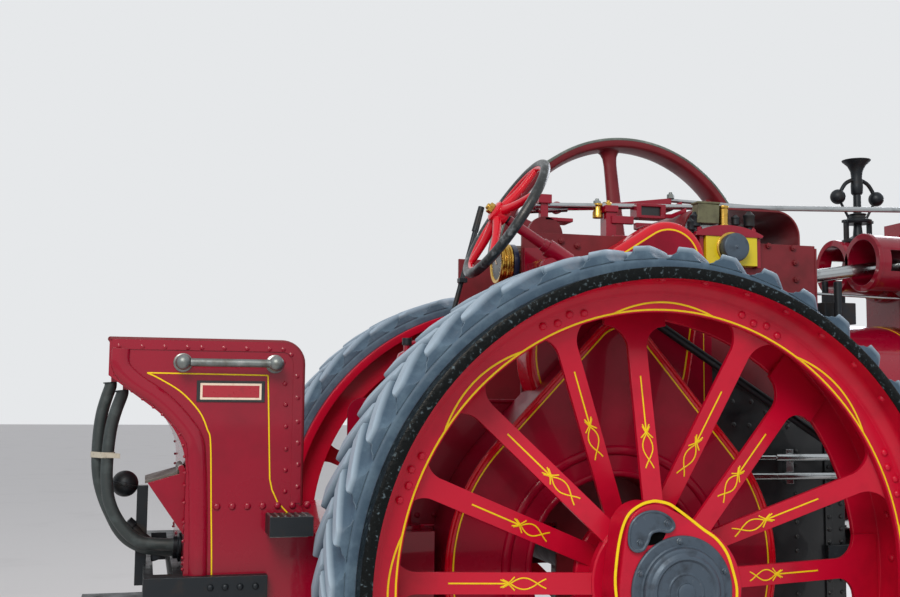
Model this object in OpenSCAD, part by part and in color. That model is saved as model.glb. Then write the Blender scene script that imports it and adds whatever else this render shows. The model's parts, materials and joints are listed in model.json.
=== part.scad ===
// Steam traction engine on rubber shod wheels, standing on its four wheels.
// Millimetres. +X is forward, +Y is the engine's left, +Z is up and the ground is Z = 0.
// Pieces are laid out from the rear axle and moved into place by from_rear_axle().
// Left and right wheels are mirror images, so each is drawn once, on the right.

/* [Layout] */
// Distance between the axles
wheelbase = 3150; // [2900:10:3500]
// Height of the boiler's centre line above the ground
boiler_z = 1550; // [1520:5:1600]
// Height of the crankshaft's centre line above the ground
crank_z = 2220; // [2200:5:2250]
// Crankshaft's distance in front of the rear axle
crank_x = 545; // [500:5:560]

/* [Rear wheels] */
// Diameter over the lugs of the tyre
rear_wheel_d = 2134; // [2100:2:2160]
// Width of the rim
rear_rim_w = 470; // [440:5:480]
// Distance from the centre line to the rim's outer edge
rear_rim_outer = 1120; // [1100:5:1140]
// Height of the tread's lugs
lug_h = 42; // [30:1:50]
// Number of lugs in each of a tyre's two rows
lugs = 43; // [36:1:48]
// Thickness of the rubber under the lugs
tyre_t = 37; // [25:1:45]
// Width of the rubber tyre
rear_tyre_w = 360; // [300:5:390]
// Thickness of the rim plate
rim_t = 32; // [20:1:40]
// Depth of the two rings inside the rim that carry the spokes
ring_depth = 101; // [80:1:120]
// Thickness of those rings
ring_t = 16; // [12:1:20]
// Outer ring's distance in from the rim's edge
outer_ring_in = 106; // [90:2:120]
// Inner ring's distance in from the rim's edge
inner_ring_in = 356; // [320:2:380]
// Number of spokes to each ring
spokes_per_ring = 8; // [6:1:10]
// Width of a spoke
spoke_w = 68; // [55:1:80]
// Thickness of a spoke
spoke_t = 16; // [12:1:20]
// Half width of a spoke's riveted foot
foot_half = 112; // [95:1:125]
// Radius of the hub barrel
hub_r = 160; // [140:2:180]
// Radius of the boss round the axle
boss_r = 205; // [190:1:225]
// Radius of the lobe that holds the driving pin
lobe_r = 95; // [85:1:105]
// Radius of the rear axle
axle_r = 75; // [60:1:80]
// Radius of the ringed cap on the hub
cap_r = 125; // [110:1:135]
// How far the cap stands out of the boss
cap_out = 40; // [30:1:50]

/* [Front wheels] */
// Diameter over the rubber
front_wheel_d = 1340; // [1280:5:1380]
// Width of the front rim
front_rim_w = 230; // [200:5:240]
// Distance from the centre line to the middle of the front wheel
front_wheel_y = 850; // [830:5:880]
// Thickness of the front rubber
front_tyre_t = 34; // [25:1:40]
// Number of spokes in a front wheel
front_spokes = 12; // [8:1:14]
// Radius of the front wheel's hub
front_hub_r = 85; // [75:1:95]
// Radius of the front axle's journals
front_journal_r = 38; // [32:1:42]

/* [Boiler] */
// Radius over the boiler's cladding
barrel_r = 420; // [400:2:430]
// Front face of the firebox, from the rear axle
firebox_front = 1050; // [1020:5:1080]
// Back face of the firebox, from the rear axle
firebox_back = 150; // [140:5:180]
// Height of the firebox's foot
firebox_foot = 620; // [600:5:660]
// Where the barrel meets the smokebox, from the rear axle
smokebox_back = 2750; // [2700:10:2800]
// Front face of the smokebox, from the rear axle
smokebox_front = 3480; // [3420:5:3540]
// Radius of the smokebox
smokebox_r = 440; // [430:2:450]
// Radius of the smokebox door
door_r = 335; // [300:5:350]
// Height of the chimney's top
chimney_top = 3300; // [3200:10:3400]
// Radius of the chimney at its foot
chimney_r = 135; // [120:1:150]

/* [Hornplates and gearing] */
// Distance from the centre line to a hornplate's inner face, which is the firebox's side
horn_in = 420; // [410:2:424]
// Thickness of a hornplate
horn_t = 14; // [10:1:16]
// Height of the hornplates' top edge
horn_top = 2250; // [2240:5:2270]
// Rear edge of the hornplates, from the rear axle
horn_back = -280; // [-300:5:-270]
// Front edge of the hornplates, from the rear axle
horn_front = 930; // [920:5:960]
// Radius of the final drive cover round the axle
drive_cover_r = 615; // [590:1:630]
// Radius of the opening in the drive cover
drive_hole_r = 310; // [280:5:340]
// Distance from the centre line to the drive cover's face
drive_cover_y = 635; // [610:1:640]
// Distance from the centre line to the gear case's face
gear_case_y = 555; // [540:1:570]
// Radius of the crankshaft
crank_r = 42; // [36:1:46]
// Radius of the flywheel
flywheel_r = 640; // [620:5:680]
// Width of the flywheel's rim
flywheel_w = 140; // [120:2:146]
// Distance from the centre line to the flywheel's inner edge
flywheel_y = 480; // [475:1:490]

/* [Tender] */
// Half width of the tender
tender_half = 600; // [580:2:606]
// Height of the tender's top edge
tender_top = 1820; // [1780:5:1860]
// Height of the tank's top, which is the footplate
footplate_z = 1200; // [1180:2:1220]
// Height of the tank's bottom
tank_foot = 620; // [600:5:680]
// Back face of the tank, behind the rear axle
tank_back = 1455; // [1430:5:1480]
// Rear edge of the tender's flared top, behind the rear axle
tender_back = 1700; // [1680:5:1720]
// Front edge of the tender's high sides, behind the rear axle
bunker_front = 1090; // [1080:5:1120]
// Radius of the curve under the tender's flared back
flare_r = 249; // [240:1:255]
// Thickness of the tender's plates
plate_t = 12; // [8:1:16]

/* [Steering] */
// Diameter of the steering wheel
steering_wheel_d = 490; // [460:5:520]
// Slope of the steering shaft
steering_slope = 31.6; // [31:0.1:33]
// Radius of the steering shaft
steering_shaft_r = 16; // [13:0.5:18]
// Radius of the drum that winds the steering chains
drum_r = 80; // [70:1:85]
// Half the front axle's distance between its chain eyes
chain_eye_y = 600; // [560:5:620]

/* [Hidden] */
$fn = 96;
running = 0.05;      // radial clearance of a journal in its bore
air = 0.3;           // gap between pieces that are set against each other
over = 1;            // how far a cutting shape runs past a face

rear_axle_z = rear_wheel_d / 2;
tyre_base_r = rear_axle_z - lug_h;
rim_r = tyre_base_r - tyre_t;
rim_in_r = rim_r - rim_t;
ring_in_r = rim_in_r - ring_depth;
rear_rim_inner = rear_rim_outer - rear_rim_w;
outer_ring_y = rear_rim_outer - outer_ring_in;
inner_ring_y = rear_rim_outer - inner_ring_in;
hub_in = rear_rim_inner + 5;
front_axle_z = front_wheel_d / 2;
pin_at = [-87, 169];   // driving pin, from the axle

jaw_back = 1785;       // rearmost reach of the drawbar's jaw behind the rear axle
front_reach = wheelbase + front_wheel_d / 2;
rear_axle_x = (jaw_back - front_reach) / 2;

shaft_y = 600;         // steering shaft, right of the centre line
column_at = [-196, 2143];   // a point of the steering shaft, x and z
wheel_back = -422;     // steering wheel's hub, from the rear axle
worm_x = 1380;         // worm, from the rear axle
worm_wheel_r = 130;
worm_r = 35;

tube_plate_in = 60;    // how far the barrel reaches into the smokebox
smokebox_plate = 14;   // thickness of the smokebox's front plate
chimney_foot = boiler_z + smokebox_r;
chimney_base_h = 130;
chimney_cap_h = 190;
chimney_cap_r = chimney_r + 60;
chimney_bore = chimney_r - 21;

gauge_at = [-346, -330, 2139];   // centre of the pressure gauge's dial
rods_z = 2374;         // height of the reach rods at the footplate
governor_at = [1512, 110];   // governor's spindle, x and y, over the left trunk guide
fire_door_z = 1480;
fire_door_r = 185;
smokebox_hinges = [boiler_z - 130, boiler_z + 130];
hinge_out = 19;        // hinge pin's distance from the face that carries it
hinge_r = 18;
hinge_pin_r = 8;
leaf_h = 40;
lug_t = 14;

second_shaft = [20, 1800];     // shaft between the crank and the rear axle, x and z
second_boss_r = 125;
gear_case_r = 320;
gear_case_top = [250, 2150];
gear_case_top_r = 148;
boss_t = 130;          // thickness of the rear wheel's boss
tyre_in = 70;          // the rear tyre's distance in from the rim's edge
lug_lead = 9;          // degrees by which a lug leans ahead on its way to the tread's middle
lug_slope = 12;        // how far a lug's ends lean inwards
rim_fillet = 44;       // radius of the rolled angle between the outer ring and the rim
hub_flange_r = 218;    // flange of the hub that carries the inner spokes
hub_flange_y = 905;
hub_flange_t = 38;

horn_bend = 1620;      // heights where the hornplates' front edge starts and ends its slope
horn_step = 1150;
cyl_y = 110;           // each cylinder's distance from the centre line
cyl_z = 2240;
cyl_r = 150;
cyl_back = 1620;
cyl_front = 2240;
guide_back = 1375;
rod_pin_x = 1575;      // where the connecting rods end in their crossheads
rod_back = crank_x + 215;  // the rods' ends at the cranks
rod_low = crank_z - 104;
guide_r = 119;
guide_bore = 99;

cover_top = horn_top + 135;      // cover over the cranks
cover_back = 372;
cover_front = 875;

bearing_w = 215;
bearing_h = 122;
bearing_cap_r = 326;    // radius of the cap arched over each bearing
bearing_cap_top = 88;
bearing_out = 480;     // outer face of the crankshaft's bearings, from the centre line

tank_neck = 640;       // where the tank narrows to pass between the driving gear

corner_r = 70;         // rounded front corner of the tender's sides
flare_foot = 1400;     // where the tender's back starts to flare out

hopper_top = 1400;     // water filler at the back of the tank
hopper_reach = 116;
hopper_drop = 33;
hopper_y = 300;
hopper_w = 260;
lid_pin = [-tank_back - 13, hopper_top + 12];
lid_pin_r = 5;
knuckle_r = 10;
knuckle_w = hopper_w - 40;

drawbar_pin = [-1730, 880];
drawbar_bore = 23;

drum_end = 470;
drum_shaft_r = 24;
drum_chain_y = 260;    // where the chains leave the drum, from the centre line
chain_r = 13;          // half the width of a chain's links
eye_reach = 92;        // the chain eyes' distance behind the front axle
chain_links = 23;      // links in a chain between the drum and the axle

perch_pin_r = 38;

// Helpers

module from_rear_axle() {
    translate([rear_axle_x, 0, 0]) children();
}

// Draws an x, z outline as a slab between two distances to the right of the centre line
module slab(near_y, far_y) {
    translate([0, -near_y, 0]) rotate([90, 0, 0]) linear_extrude(height = far_y - near_y) children();
}

module on_left() {
    mirror([0, 1, 0]) children();
}

module both_sides() {
    children();
    on_left() children();
}

// The four points where two circles touch their outer tangents
function tangents(p, pr, q, qr) =
    let (
        d = norm(q - p),
        along = (q - p) / d,
        across = [-along[1], along[0]],
        s = (pr - qr) / d,
        c = sqrt(1 - s * s)
    )
    [
        p + pr * (s * along + c * across), q + qr * (s * along + c * across),
        q + qr * (s * along - c * across), p + pr * (s * along - c * across)
    ];

// Two round ends joined by their outer tangents
module bridge(height, p, pr, q, qr) {
    translate(p) cylinder(h = height, r = pr);
    translate(q) cylinder(h = height, r = qr);
    linear_extrude(height = height) polygon(tangents(p, pr, q, qr));
}

// The same with its outline in x and z, between two distances to the right of the centre line
module bridge_slab(near_y, far_y, p, pr, q, qr) {
    translate([0, -near_y, 0]) rotate([90, 0, 0]) bridge(far_y - near_y, p, pr, q, qr);
}

// A round bar from one point to another
module bar(a, b, r) {
    v = b - a;
    length = norm(v);
    translate(a) rotate([0, acos(v[2] / length), atan2(v[1], v[0])]) cylinder(h = length, r = r);
}

module tube_section(outer, inner, low, high) {
    translate([inner, low]) square([outer - inner, high - low]);
}

// Boiler

module boiler_shell(r, back, front) {
    translate([back, 0, boiler_z]) rotate([0, 90, 0]) cylinder(h = front - back, r = r);
}

module boiler_barrel() {
    band_w = 45;
    band_t = 3;
    color("#8e1420") {
        boiler_shell(barrel_r, firebox_front, smokebox_back + tube_plate_in);
        for (x = [firebox_front + 40, cyl_back - 110, cyl_front + 60, smokebox_back - 100])
            boiler_shell(barrel_r + band_t, x, x + band_w);
    }
}

// A pin in two lugs at each height of a hinge; the leaf turns between the lugs.
// The lugs stand on a face at face_x and reach towards side, which is 1 for +X.
module hinge_lugs(face_x, side, y, heights) {
    x = face_x + side * hinge_out;
    for (z = heights) {
        for (s = [-1, 1]) translate([0, 0, z + s * (leaf_h / 2 + lug_t / 2 + air) - lug_t / 2]) {
            translate([min(face_x, x), y - hinge_r, 0]) cube([hinge_out, 2 * hinge_r, lug_t]);
            translate([x, y, 0]) cylinder(h = lug_t, r = hinge_r);
        }
        translate([x, y, z - leaf_h / 2 - lug_t]) cylinder(h = leaf_h + 2 * lug_t, r = hinge_pin_r);
    }
}

// The leaf of such a hinge, from a door's face to the pin
module hinge_leaf(face_x, side, y, reach, heights) {
    x = face_x + side * hinge_out;
    for (z = heights) difference() {
        union() {
            translate([x, y, z - leaf_h / 2]) cylinder(h = leaf_h, r = hinge_r);
            translate([x - hinge_r, y - reach, z - leaf_h / 2]) cube([2 * hinge_r, reach, leaf_h]);
        }
        translate([x, y, z - leaf_h / 2 - over]) cylinder(h = leaf_h + 2 * over, r = hinge_pin_r + running);
    }
}

module firebox() {
    door_bore_r = 150;
    color("#1c1e20") {
        difference() {
            union() {
                translate([firebox_back, -horn_in, firebox_foot])
                    cube([firebox_front - firebox_back, 2 * horn_in, boiler_z - firebox_foot]);
                boiler_shell(horn_in, firebox_back, firebox_front);
            }
            translate([firebox_back - over, 0, fire_door_z]) rotate([0, 90, 0])
                cylinder(h = 120 + over, r = door_bore_r);
        }
        hinge_lugs(firebox_back, -1, fire_door_r + 30, [fire_door_z]);
    }
}

module firehole_door() {
    color("#2a2c2e") {
        translate([firebox_back - air - 20, 0, fire_door_z]) rotate([0, 90, 0])
            cylinder(h = 20, r = fire_door_r);
        translate([firebox_back - air - 60, -fire_door_r + 30, fire_door_z - 12]) cube([45, 24, 24]);
        hinge_leaf(firebox_back, -1, fire_door_r + 30, 60, [fire_door_z]);
    }
}

// The shell is riveted round the end of the barrel
module smokebox() {
    color("#1b1c1e") difference() {
        boiler_shell(smokebox_r, smokebox_back, smokebox_front - smokebox_plate);
        boiler_shell(barrel_r + air, smokebox_back - over, smokebox_front);
        translate([wheelbase, 0, boiler_z]) cylinder(h = smokebox_r + over, r = chimney_r + 15);
    }
}

module smokebox_front() {
    color("#1b1c1e") {
        difference() {
            boiler_shell(smokebox_r, smokebox_front - smokebox_plate, smokebox_front);
            boiler_shell(door_r - 35, smokebox_front - smokebox_plate - over, smokebox_front + over);
        }
        hinge_lugs(smokebox_front, 1, door_r + 30, smokebox_hinges);
    }
}

module smokebox_door() {
    dome = 46;
    rim = 22;
    color("#1b1c1e") {
        translate([smokebox_front + air, 0, boiler_z]) rotate([0, 90, 0]) cylinder(h = rim, r = door_r);
        translate([smokebox_front + air + rim, 0, boiler_z]) rotate([0, 90, 0])
            cylinder(h = dome - rim, r1 = door_r - 20, r2 = door_r - 120);
        translate([smokebox_front + air + rim, 0, boiler_z]) rotate([0, 90, 0]) cylinder(h = 75, r = 20);
        hinge_leaf(smokebox_front, 1, door_r + 30, 130, smokebox_hinges);
    }
}

module chimney_part() {
    color("#1b1c1e") translate([wheelbase, 0, 0]) difference() {
        children();
        translate([0, 0, chimney_foot - 80]) cylinder(h = chimney_top, r = chimney_bore);
    }
}

module chimney_base() {
    chimney_part() difference() {
        translate([0, 0, chimney_foot - 70]) cylinder(h = chimney_base_h + 70, r = chimney_r + 50);
        translate([-wheelbase, 0, 0]) boiler_shell(smokebox_r, smokebox_back, smokebox_front);
    }
}

module chimney() {
    foot = chimney_foot + chimney_base_h;
    chimney_part() translate([0, 0, foot])
        cylinder(h = chimney_top - chimney_cap_h - foot, r1 = chimney_r, r2 = chimney_r - 12);
}

module chimney_cap() {
    lip_h = 50;
    chimney_part() {
        translate([0, 0, chimney_top - chimney_cap_h])
            cylinder(h = chimney_cap_h - lip_h, r1 = chimney_r - 4, r2 = chimney_cap_r);
        translate([0, 0, chimney_top - lip_h]) cylinder(h = lip_h, r = chimney_cap_r);
    }
}

// Cylinders and motion

module cylinder_block() {
    saddle = cyl_y + cyl_r - 20;    // half the width of the saddle under the cylinders
    saddle_foot = boiler_z + barrel_r - 120;
    chest = [cyl_front - cyl_back - 120, 300, 210];
    color("#8e1420") difference() {
        union() {
            for (s = [-1, 1])
                translate([cyl_back, s * cyl_y, cyl_z]) rotate([0, 90, 0])
                    cylinder(h = cyl_front - cyl_back, r = cyl_r);
            translate([cyl_back + 20, -saddle, saddle_foot])
                cube([cyl_front - cyl_back - 40, 2 * saddle, cyl_z - saddle_foot]);
            translate([cyl_back + 60, -chest[1] / 2, cyl_z]) cube(chest);
        }
        boiler_shell(barrel_r + air, firebox_front, smokebox_back);
    }
}

module trunk_guides() {
    window = [70, 90];
    color("#8e1420") difference() {
        for (s = [-1, 1])
            translate([guide_back, s * cyl_y, cyl_z]) rotate([0, 90, 0])
                cylinder(h = cyl_back - guide_back, r = guide_r);
        for (s = [-1, 1]) {
            translate([guide_back - over, s * cyl_y, cyl_z]) rotate([0, 90, 0])
                cylinder(h = cyl_back - guide_back + 2 * over, r = guide_bore);
            translate([guide_back + 60, s * cyl_y - (s < 0 ? guide_r + over : 0), cyl_z - window[1] / 2])
                cube([window[0], guide_r + over, window[1]]);
        }
    }
}

module connecting_rods() {
    rod_r = 27;
    head = 75;
    color("#b9bdc0") for (s = [-1, 1]) {
        translate([rod_pin_x - head / 2, s * cyl_y, cyl_z]) rotate([0, 90, 0])
            cylinder(h = head, r = guide_bore - running);
        bar([rod_back, s * cyl_y, rod_low], [rod_pin_x, s * cyl_y, cyl_z], rod_r);
        translate([rod_pin_x, s * cyl_y, cyl_z]) rotate([0, 90, 0])
            cylinder(h = cyl_back - rod_pin_x - air, r = rod_r - 4);
    }
}

module cover_outline(inset) {
    bend = 100;
    wide = cover_front - cover_back;
    high = cover_top - horn_top;
    intersection() {
        translate([cover_back, horn_top]) square([wide, high]);
        union() {
            translate([cover_back + inset, horn_top]) square([wide - 2 * inset, high - bend]);
            translate([cover_back + bend, horn_top]) square([wide - 2 * bend, high - inset]);
            for (x = [cover_back + bend, cover_front - bend])
                translate([x, cover_top - bend]) circle(r = bend - inset);
        }
    }
}

module motion_cover() {
    sheet = 6;
    color("#7d1a22") slab(20, horn_in - air) difference() {
        cover_outline(0);
        translate([0, -over]) cover_outline(sheet);
    }
}

module crank_bearings() {
    pot_r = 15;
    both_sides() {
        color("#d9b21f") slab(horn_in + horn_t, bearing_out - 6) difference() {
            union() {
                translate([crank_x - bearing_w / 2, crank_z - 65]) square([bearing_w, bearing_h]);
                intersection() {
                    translate([crank_x - 12, crank_z + bearing_cap_top - bearing_cap_r])
                        circle(r = bearing_cap_r);
                    translate([crank_x - bearing_w, crank_z + bearing_h - 70])
                        square([2 * bearing_w, bearing_cap_top]);
                }
            }
            translate([crank_x, crank_z]) circle(r = crank_r + running);
        }
        color("#b5892f") translate([crank_x - 26, -horn_in - horn_t - 22, crank_z + bearing_cap_top - 10])
            cylinder(h = bearing_cap_top, r = pot_r);
    }
}

module crankshaft() {
    half = 500;
    disc_r = 145;
    disc_t = 40;
    cap_t = 24;
    translate([crank_x, 0, crank_z]) rotate([90, 0, 0]) {
        color("#b9bdc0") translate([0, 0, -half]) cylinder(h = 2 * half, r = crank_r);
        color("#3a3c3e") for (y = [-190, -60, 60, 190])
            translate([0, 0, y - disc_t / 2]) cylinder(h = disc_t, r = disc_r);
        color("#1e2022") translate([0, 0, bearing_out + 1]) cylinder(h = cap_t, r = crank_r + 6);
    }
}

module flywheel() {
    rim = 46;
    hub = 95;
    spoke = [62, 44];
    spoke_turn = 6;
    color("#7d1a22") translate([crank_x, flywheel_y + flywheel_w, crank_z]) rotate([90, 0, 0]) difference() {
        union() {
            rotate_extrude() tube_section(flywheel_r, flywheel_r - rim, 0, flywheel_w);
            cylinder(h = flywheel_w, r = hub);
            for (k = [0 : 5]) rotate([0, 0, 60 * k + 90 + spoke_turn])
                translate([hub - 35, -spoke[0] / 2, (flywheel_w - spoke[1]) / 2])
                    cube([flywheel_r - rim + 10 - hub + 35, spoke[0], spoke[1]]);
        }
        translate([0, 0, -over]) cylinder(h = flywheel_w + 2 * over, r = crank_r);
    }
}

// Hornplates, gearing and footplate fittings

module hornplates() {
    foot = 930;
    back_foot = -145;
    color("#7d1a22") both_sides() slab(horn_in, horn_in + horn_t) difference() {
        polygon([
            [horn_back, horn_top], [horn_front, horn_top], [horn_front, horn_bend],
            [firebox_back, horn_step], [firebox_back, foot], [back_foot, foot],
            [back_foot, footplate_z], [horn_back, footplate_z + 20]
        ]);
        translate([crank_x, crank_z]) circle(r = crank_r + 12);
        translate([0, rear_axle_z]) circle(r = axle_r);
    }
}

module case_slab(near_y, far_y) {
    bridge_slab(near_y, far_y, second_shaft, gear_case_r, gear_case_top, gear_case_top_r);
}

module drive_cover() {
    axle = [0, rear_axle_z];
    color("#a01222") difference() {
        bridge_slab(horn_in + horn_t, drive_cover_y, axle, drive_cover_r, second_shaft, second_boss_r);
        slab(horn_in, drive_cover_y + over) translate(axle) circle(r = drive_hole_r);
        case_slab(horn_in, gear_case_y + air);
    }
}

module gear_case() {
    color("#a01222") case_slab(horn_in + horn_t, gear_case_y);
}

module pressure_gauge() {
    r = 74;
    depth = 80;
    block_h = 90;
    color("#b5892f") translate(gauge_at) rotate([0, 90, 0]) cylinder(h = depth, r = r);
    color("#7d1a22") translate([gauge_at[0] + depth - over, -horn_in + air, gauge_at[2] - block_h / 2])
        cube([block_h, horn_in + gauge_at[1] + r - air, block_h]);
}

module reach_rods() {
    y = -300;
    back = -200;
    front = 1880;
    rise = 86;
    rod_r = 11;
    post_x = 95;
    post_w = 42;
    block = [206, 68, 54];
    color("#b9bdc0") {
        bar([back, y, rods_z], [front, y, rods_z + rise], rod_r);
        bar([back, y + 45, rods_z - 14], [post_x + post_w / 2, y + 45, rods_z - 8], rod_r);
    }
    color("#8e1420") {
        translate([post_x, -horn_in + air, horn_top - 60])
            cube([post_w, horn_in + y + 80, rods_z + 74 - horn_top]);
        translate([post_x + post_w - over, y - block[1] / 2, rods_z - block[2] / 2]) cube(block);
        translate([front - 14, y - 12, cyl_z - 10]) cube([28, 24, rods_z + rise + 24 - cyl_z]);
        translate([front, -cyl_y - cyl_r - air, cyl_z]) rotate([90, 0, 0])
            cylinder(h = -y - cyl_y - cyl_r - air, r = 25);
    }
}

module governor() {
    base = cyl_z + guide_r + air;
    top = base + 382;
    ball = [100, base + 208];
    color("#2d2f31") translate([governor_at[0], governor_at[1], 0]) {
        translate([-67, -70, base]) cube([134, 140, 18]);
        translate([0, 0, base]) cylinder(h = top - 150 - base, r = 15);
        translate([0, 0, top - 160]) cylinder(h = 110, r = 26);
        translate([0, 0, top - 50]) cylinder(h = 50, r1 = 26, r2 = 62);
        translate([0, 0, base + 90]) cylinder(h = 30, r = 60);
        for (s = [-1, 1]) {
            bar([s * 12, 0, top - 90], [s * ball[0], 0, ball[1]], 9);
            translate([s * ball[0], 0, ball[1]]) sphere(r = 34);
            bar([s * ball[0], 0, ball[1]], [s * 30, 0, base + 105], 7);
        }
    }
}

module safety_valve() {
    base_h = 30;
    valve = [24, 150];
    valve_y = 38;
    color("#b5892f") translate([2020, 0, cyl_z + 210]) {
        cylinder(h = base_h, r = 80);
        for (s = [-1, 1]) translate([0, s * valve_y, 0]) cylinder(h = valve[1], r = valve[0]);
        translate([-15, -70, valve[1] - 20]) cube([30, 140, 18]);
    }
}

module feed_pipes() {
    pipe_r = 15;
    y = -horn_in - horn_t - 22;
    color("#8b9094") for (z = [1430, 1360])
        translate([730, y, z]) rotate([0, 90, 0]) cylinder(h = 900, r = pipe_r);
    color("#1c1e20") for (x = [780, 1000])
        translate([x, -horn_in - 2 * pipe_r, 1330]) cube([30, 2 * pipe_r, 130]);
}

module ash_pan() {
    inset = 60;
    foot = 430;
    color("#1c1e20") translate([firebox_back + inset, -horn_in + inset, foot])
        cube([firebox_front - firebox_back - 2 * inset, 2 * (horn_in - inset), firebox_foot - foot]);
}

// Tender and what it carries

module tender_outline(inset) {
    top = tender_top + (inset > 0 ? 10 : 0);
    back = -tank_back + inset;
    brim = -tender_back + inset;
    difference() {
        polygon([
            [brim, top], [-bunker_front, top], [-bunker_front, footplate_z + 90],
            [-bunker_front + 50, footplate_z], [back, footplate_z], [back, flare_foot],
            [back - 115, 1610 + inset * 0.6], [brim, 1705 + inset * 0.6]
        ]);
        translate([-tank_back - flare_r, flare_foot]) circle(r = flare_r + inset);
        if (inset == 0) translate([-bunker_front - corner_r, tender_top - corner_r]) difference() {
            square(corner_r + over);
            circle(r = corner_r);
        }
    }
}

module tender() {
    neck_front = horn_back - 5;
    pad_h = 40;
    pad_in = 22;
    floor_t = 12;
    color("#8e1020") {
        slab(-tender_half, tender_half)
            translate([-tank_back, tank_foot]) square([tank_back - tank_neck, footplate_z - tank_foot]);
        slab(-horn_in - 10, horn_in + 10) translate([-tank_neck - over, tank_foot])
            square([tank_neck + over + neck_front, footplate_z - tank_foot]);
        difference() {
            slab(-tender_half, tender_half) tender_outline(0);
            slab(-tender_half + plate_t, tender_half - plate_t) tender_outline(plate_t);
        }
        for (run = hose_runs)
            translate([run[1][0][0] - hose_r + pad_in, run[0] - hose_r, run[1][0][1] + air])
                cube([2 * hose_r, 2 * hose_r, pad_h]);
        translate([neck_front - over, -horn_in + air, footplate_z - floor_t])
            cube([firebox_back - neck_front + over - air, 2 * (horn_in - air), floor_t]);
    }
}

module filler_hopper() {
    wall = 6;
    cheek = 19.5;
    back = -tank_back;
    lip = -tank_back - hopper_reach;
    color("#8e1020") for (y = [hopper_y, hopper_y + hopper_w - cheek]) slab(y, y + cheek) {
        translate(lid_pin) circle(r = knuckle_r);
        translate([lid_pin[0] - 6, hopper_top - 8]) square([back - lid_pin[0] + 6 - 2 * air, 20]);
    }
    color("#8b9094") slab(hopper_y, hopper_y + hopper_w) translate(lid_pin) circle(r = lid_pin_r);
    color("#8e1020") difference() {
        slab(hopper_y, hopper_y + hopper_w)
            polygon([[back, hopper_top], [lip, hopper_top - hopper_drop], [back, footplate_z]]);
        slab(hopper_y + wall, hopper_y + hopper_w - wall) polygon([
            [back - wall, hopper_top + over], [lip + wall, hopper_top - hopper_drop + over],
            [back - wall, footplate_z + 2 * wall + 10]
        ]);
    }
}

module filler_lid() {
    lid_t = 8;
    front = -tank_back - 24;
    rear = -tank_back - hopper_reach - 8;
    low = function(x) hopper_top + (x + tank_back) * hopper_drop / hopper_reach + air;
    color("#5f5a52") difference() {
        union() {
            slab(hopper_y, hopper_y + hopper_w) polygon([
                [front, low(front)], [rear, low(rear)],
                [rear, low(rear) + lid_t], [front, low(front) + lid_t]
            ]);
            slab(hopper_y + 20, hopper_y + 20 + knuckle_w) {
                translate(lid_pin) circle(r = knuckle_r);
                translate([front - 1, low(front)]) square([lid_pin[0] - front + 1, 14]);
            }
        }
        slab(hopper_y - over, hopper_y + hopper_w + over)
            translate(lid_pin) circle(r = lid_pin_r + running);
    }
}

module drawbar_frame() {
    beam = [40, 110];
    back = -tank_back - 120;
    top = 1080;
    foot = top - beam[1];
    half = tender_half + beam[0];
    jaw = [211, 180, 25];
    jaw_low = drawbar_pin[1] - 40;
    post = [36, 36];
    post_at = [-1603, -322];
    post_top = 1340;
    strainer = [-1643, -304, 1346];
    strainer_r = 44;
    color("#202326") {
        both_sides() translate([back, -half, foot]) cube([380, beam[0], beam[1]]);
        difference() {
            translate([back, -half, foot]) cube([120, 2 * half, beam[1]]);
            translate([back + 30, -half + 2 * beam[0], foot - over])
                cube([60, 2 * half - 4 * beam[0], beam[1] + 2 * over]);
        }
        translate([back, -jaw[1] / 2, jaw_low]) cube([30 - over, jaw[1], foot - jaw_low + 40]);
        difference() {
            for (z = [jaw_low, jaw_low + 55])
                translate([-jaw_back, -jaw[1] / 2, z]) cube(jaw);
            translate([drawbar_pin[0], 0, jaw_low - 20]) cylinder(h = 130, r = drawbar_bore);
        }
        translate([post_at[0], post_at[1], foot + 40]) cube([post[0], post[1], post_top - foot - 40]);
        translate(strainer) sphere(r = strainer_r);
    }
}

module steps() {
    tread = [136, 135 - air, 60];
    color("#26282a") both_sides() translate([-1202, -tender_half - tread[1] - air, 1210]) cube(tread);
}

module grab_handles() {
    z = 1748;
    y = -tender_half - 50;
    ends = [-1474, -1183];
    color("#8b9094") both_sides() {
        bar([ends[0], y, z], [ends[1], y, z], 13);
        for (x = ends) {
            translate([x, y, z]) sphere(r = 25);
            bar([x, y, z], [x, -tender_half, z], 11);
        }
    }
}

// Route of the stowed hose's outer run in its own plane, x and z from the rear axle
outer_route = [
    [-1700, 1686], [-1700, 1670], [-1711, 1634], [-1723, 1586], [-1730, 1532], [-1733, 1470], [-1732, 1410],
    [-1724, 1354], [-1708, 1302], [-1686, 1252], [-1658, 1200], [-1625, 1164], [-1580, 1140],
    [-1520, 1128], [-1456, 1126]
];
// Inner run of the hose, which hangs in front of the outer one
inner_route = [
    [-1661, 1660], [-1661, 1644], [-1678, 1592], [-1691, 1538], [-1698, 1476], [-1701, 1410], [-1699, 1352],
    [-1690, 1298], [-1668, 1246], [-1632, 1196], [-1590, 1164], [-1535, 1154], [-1456, 1152]
];
// Each run of the hose: its y and its route
hose_runs = [[-345, outer_route], [-395, inner_route]];
hose_r = 20;

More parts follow.
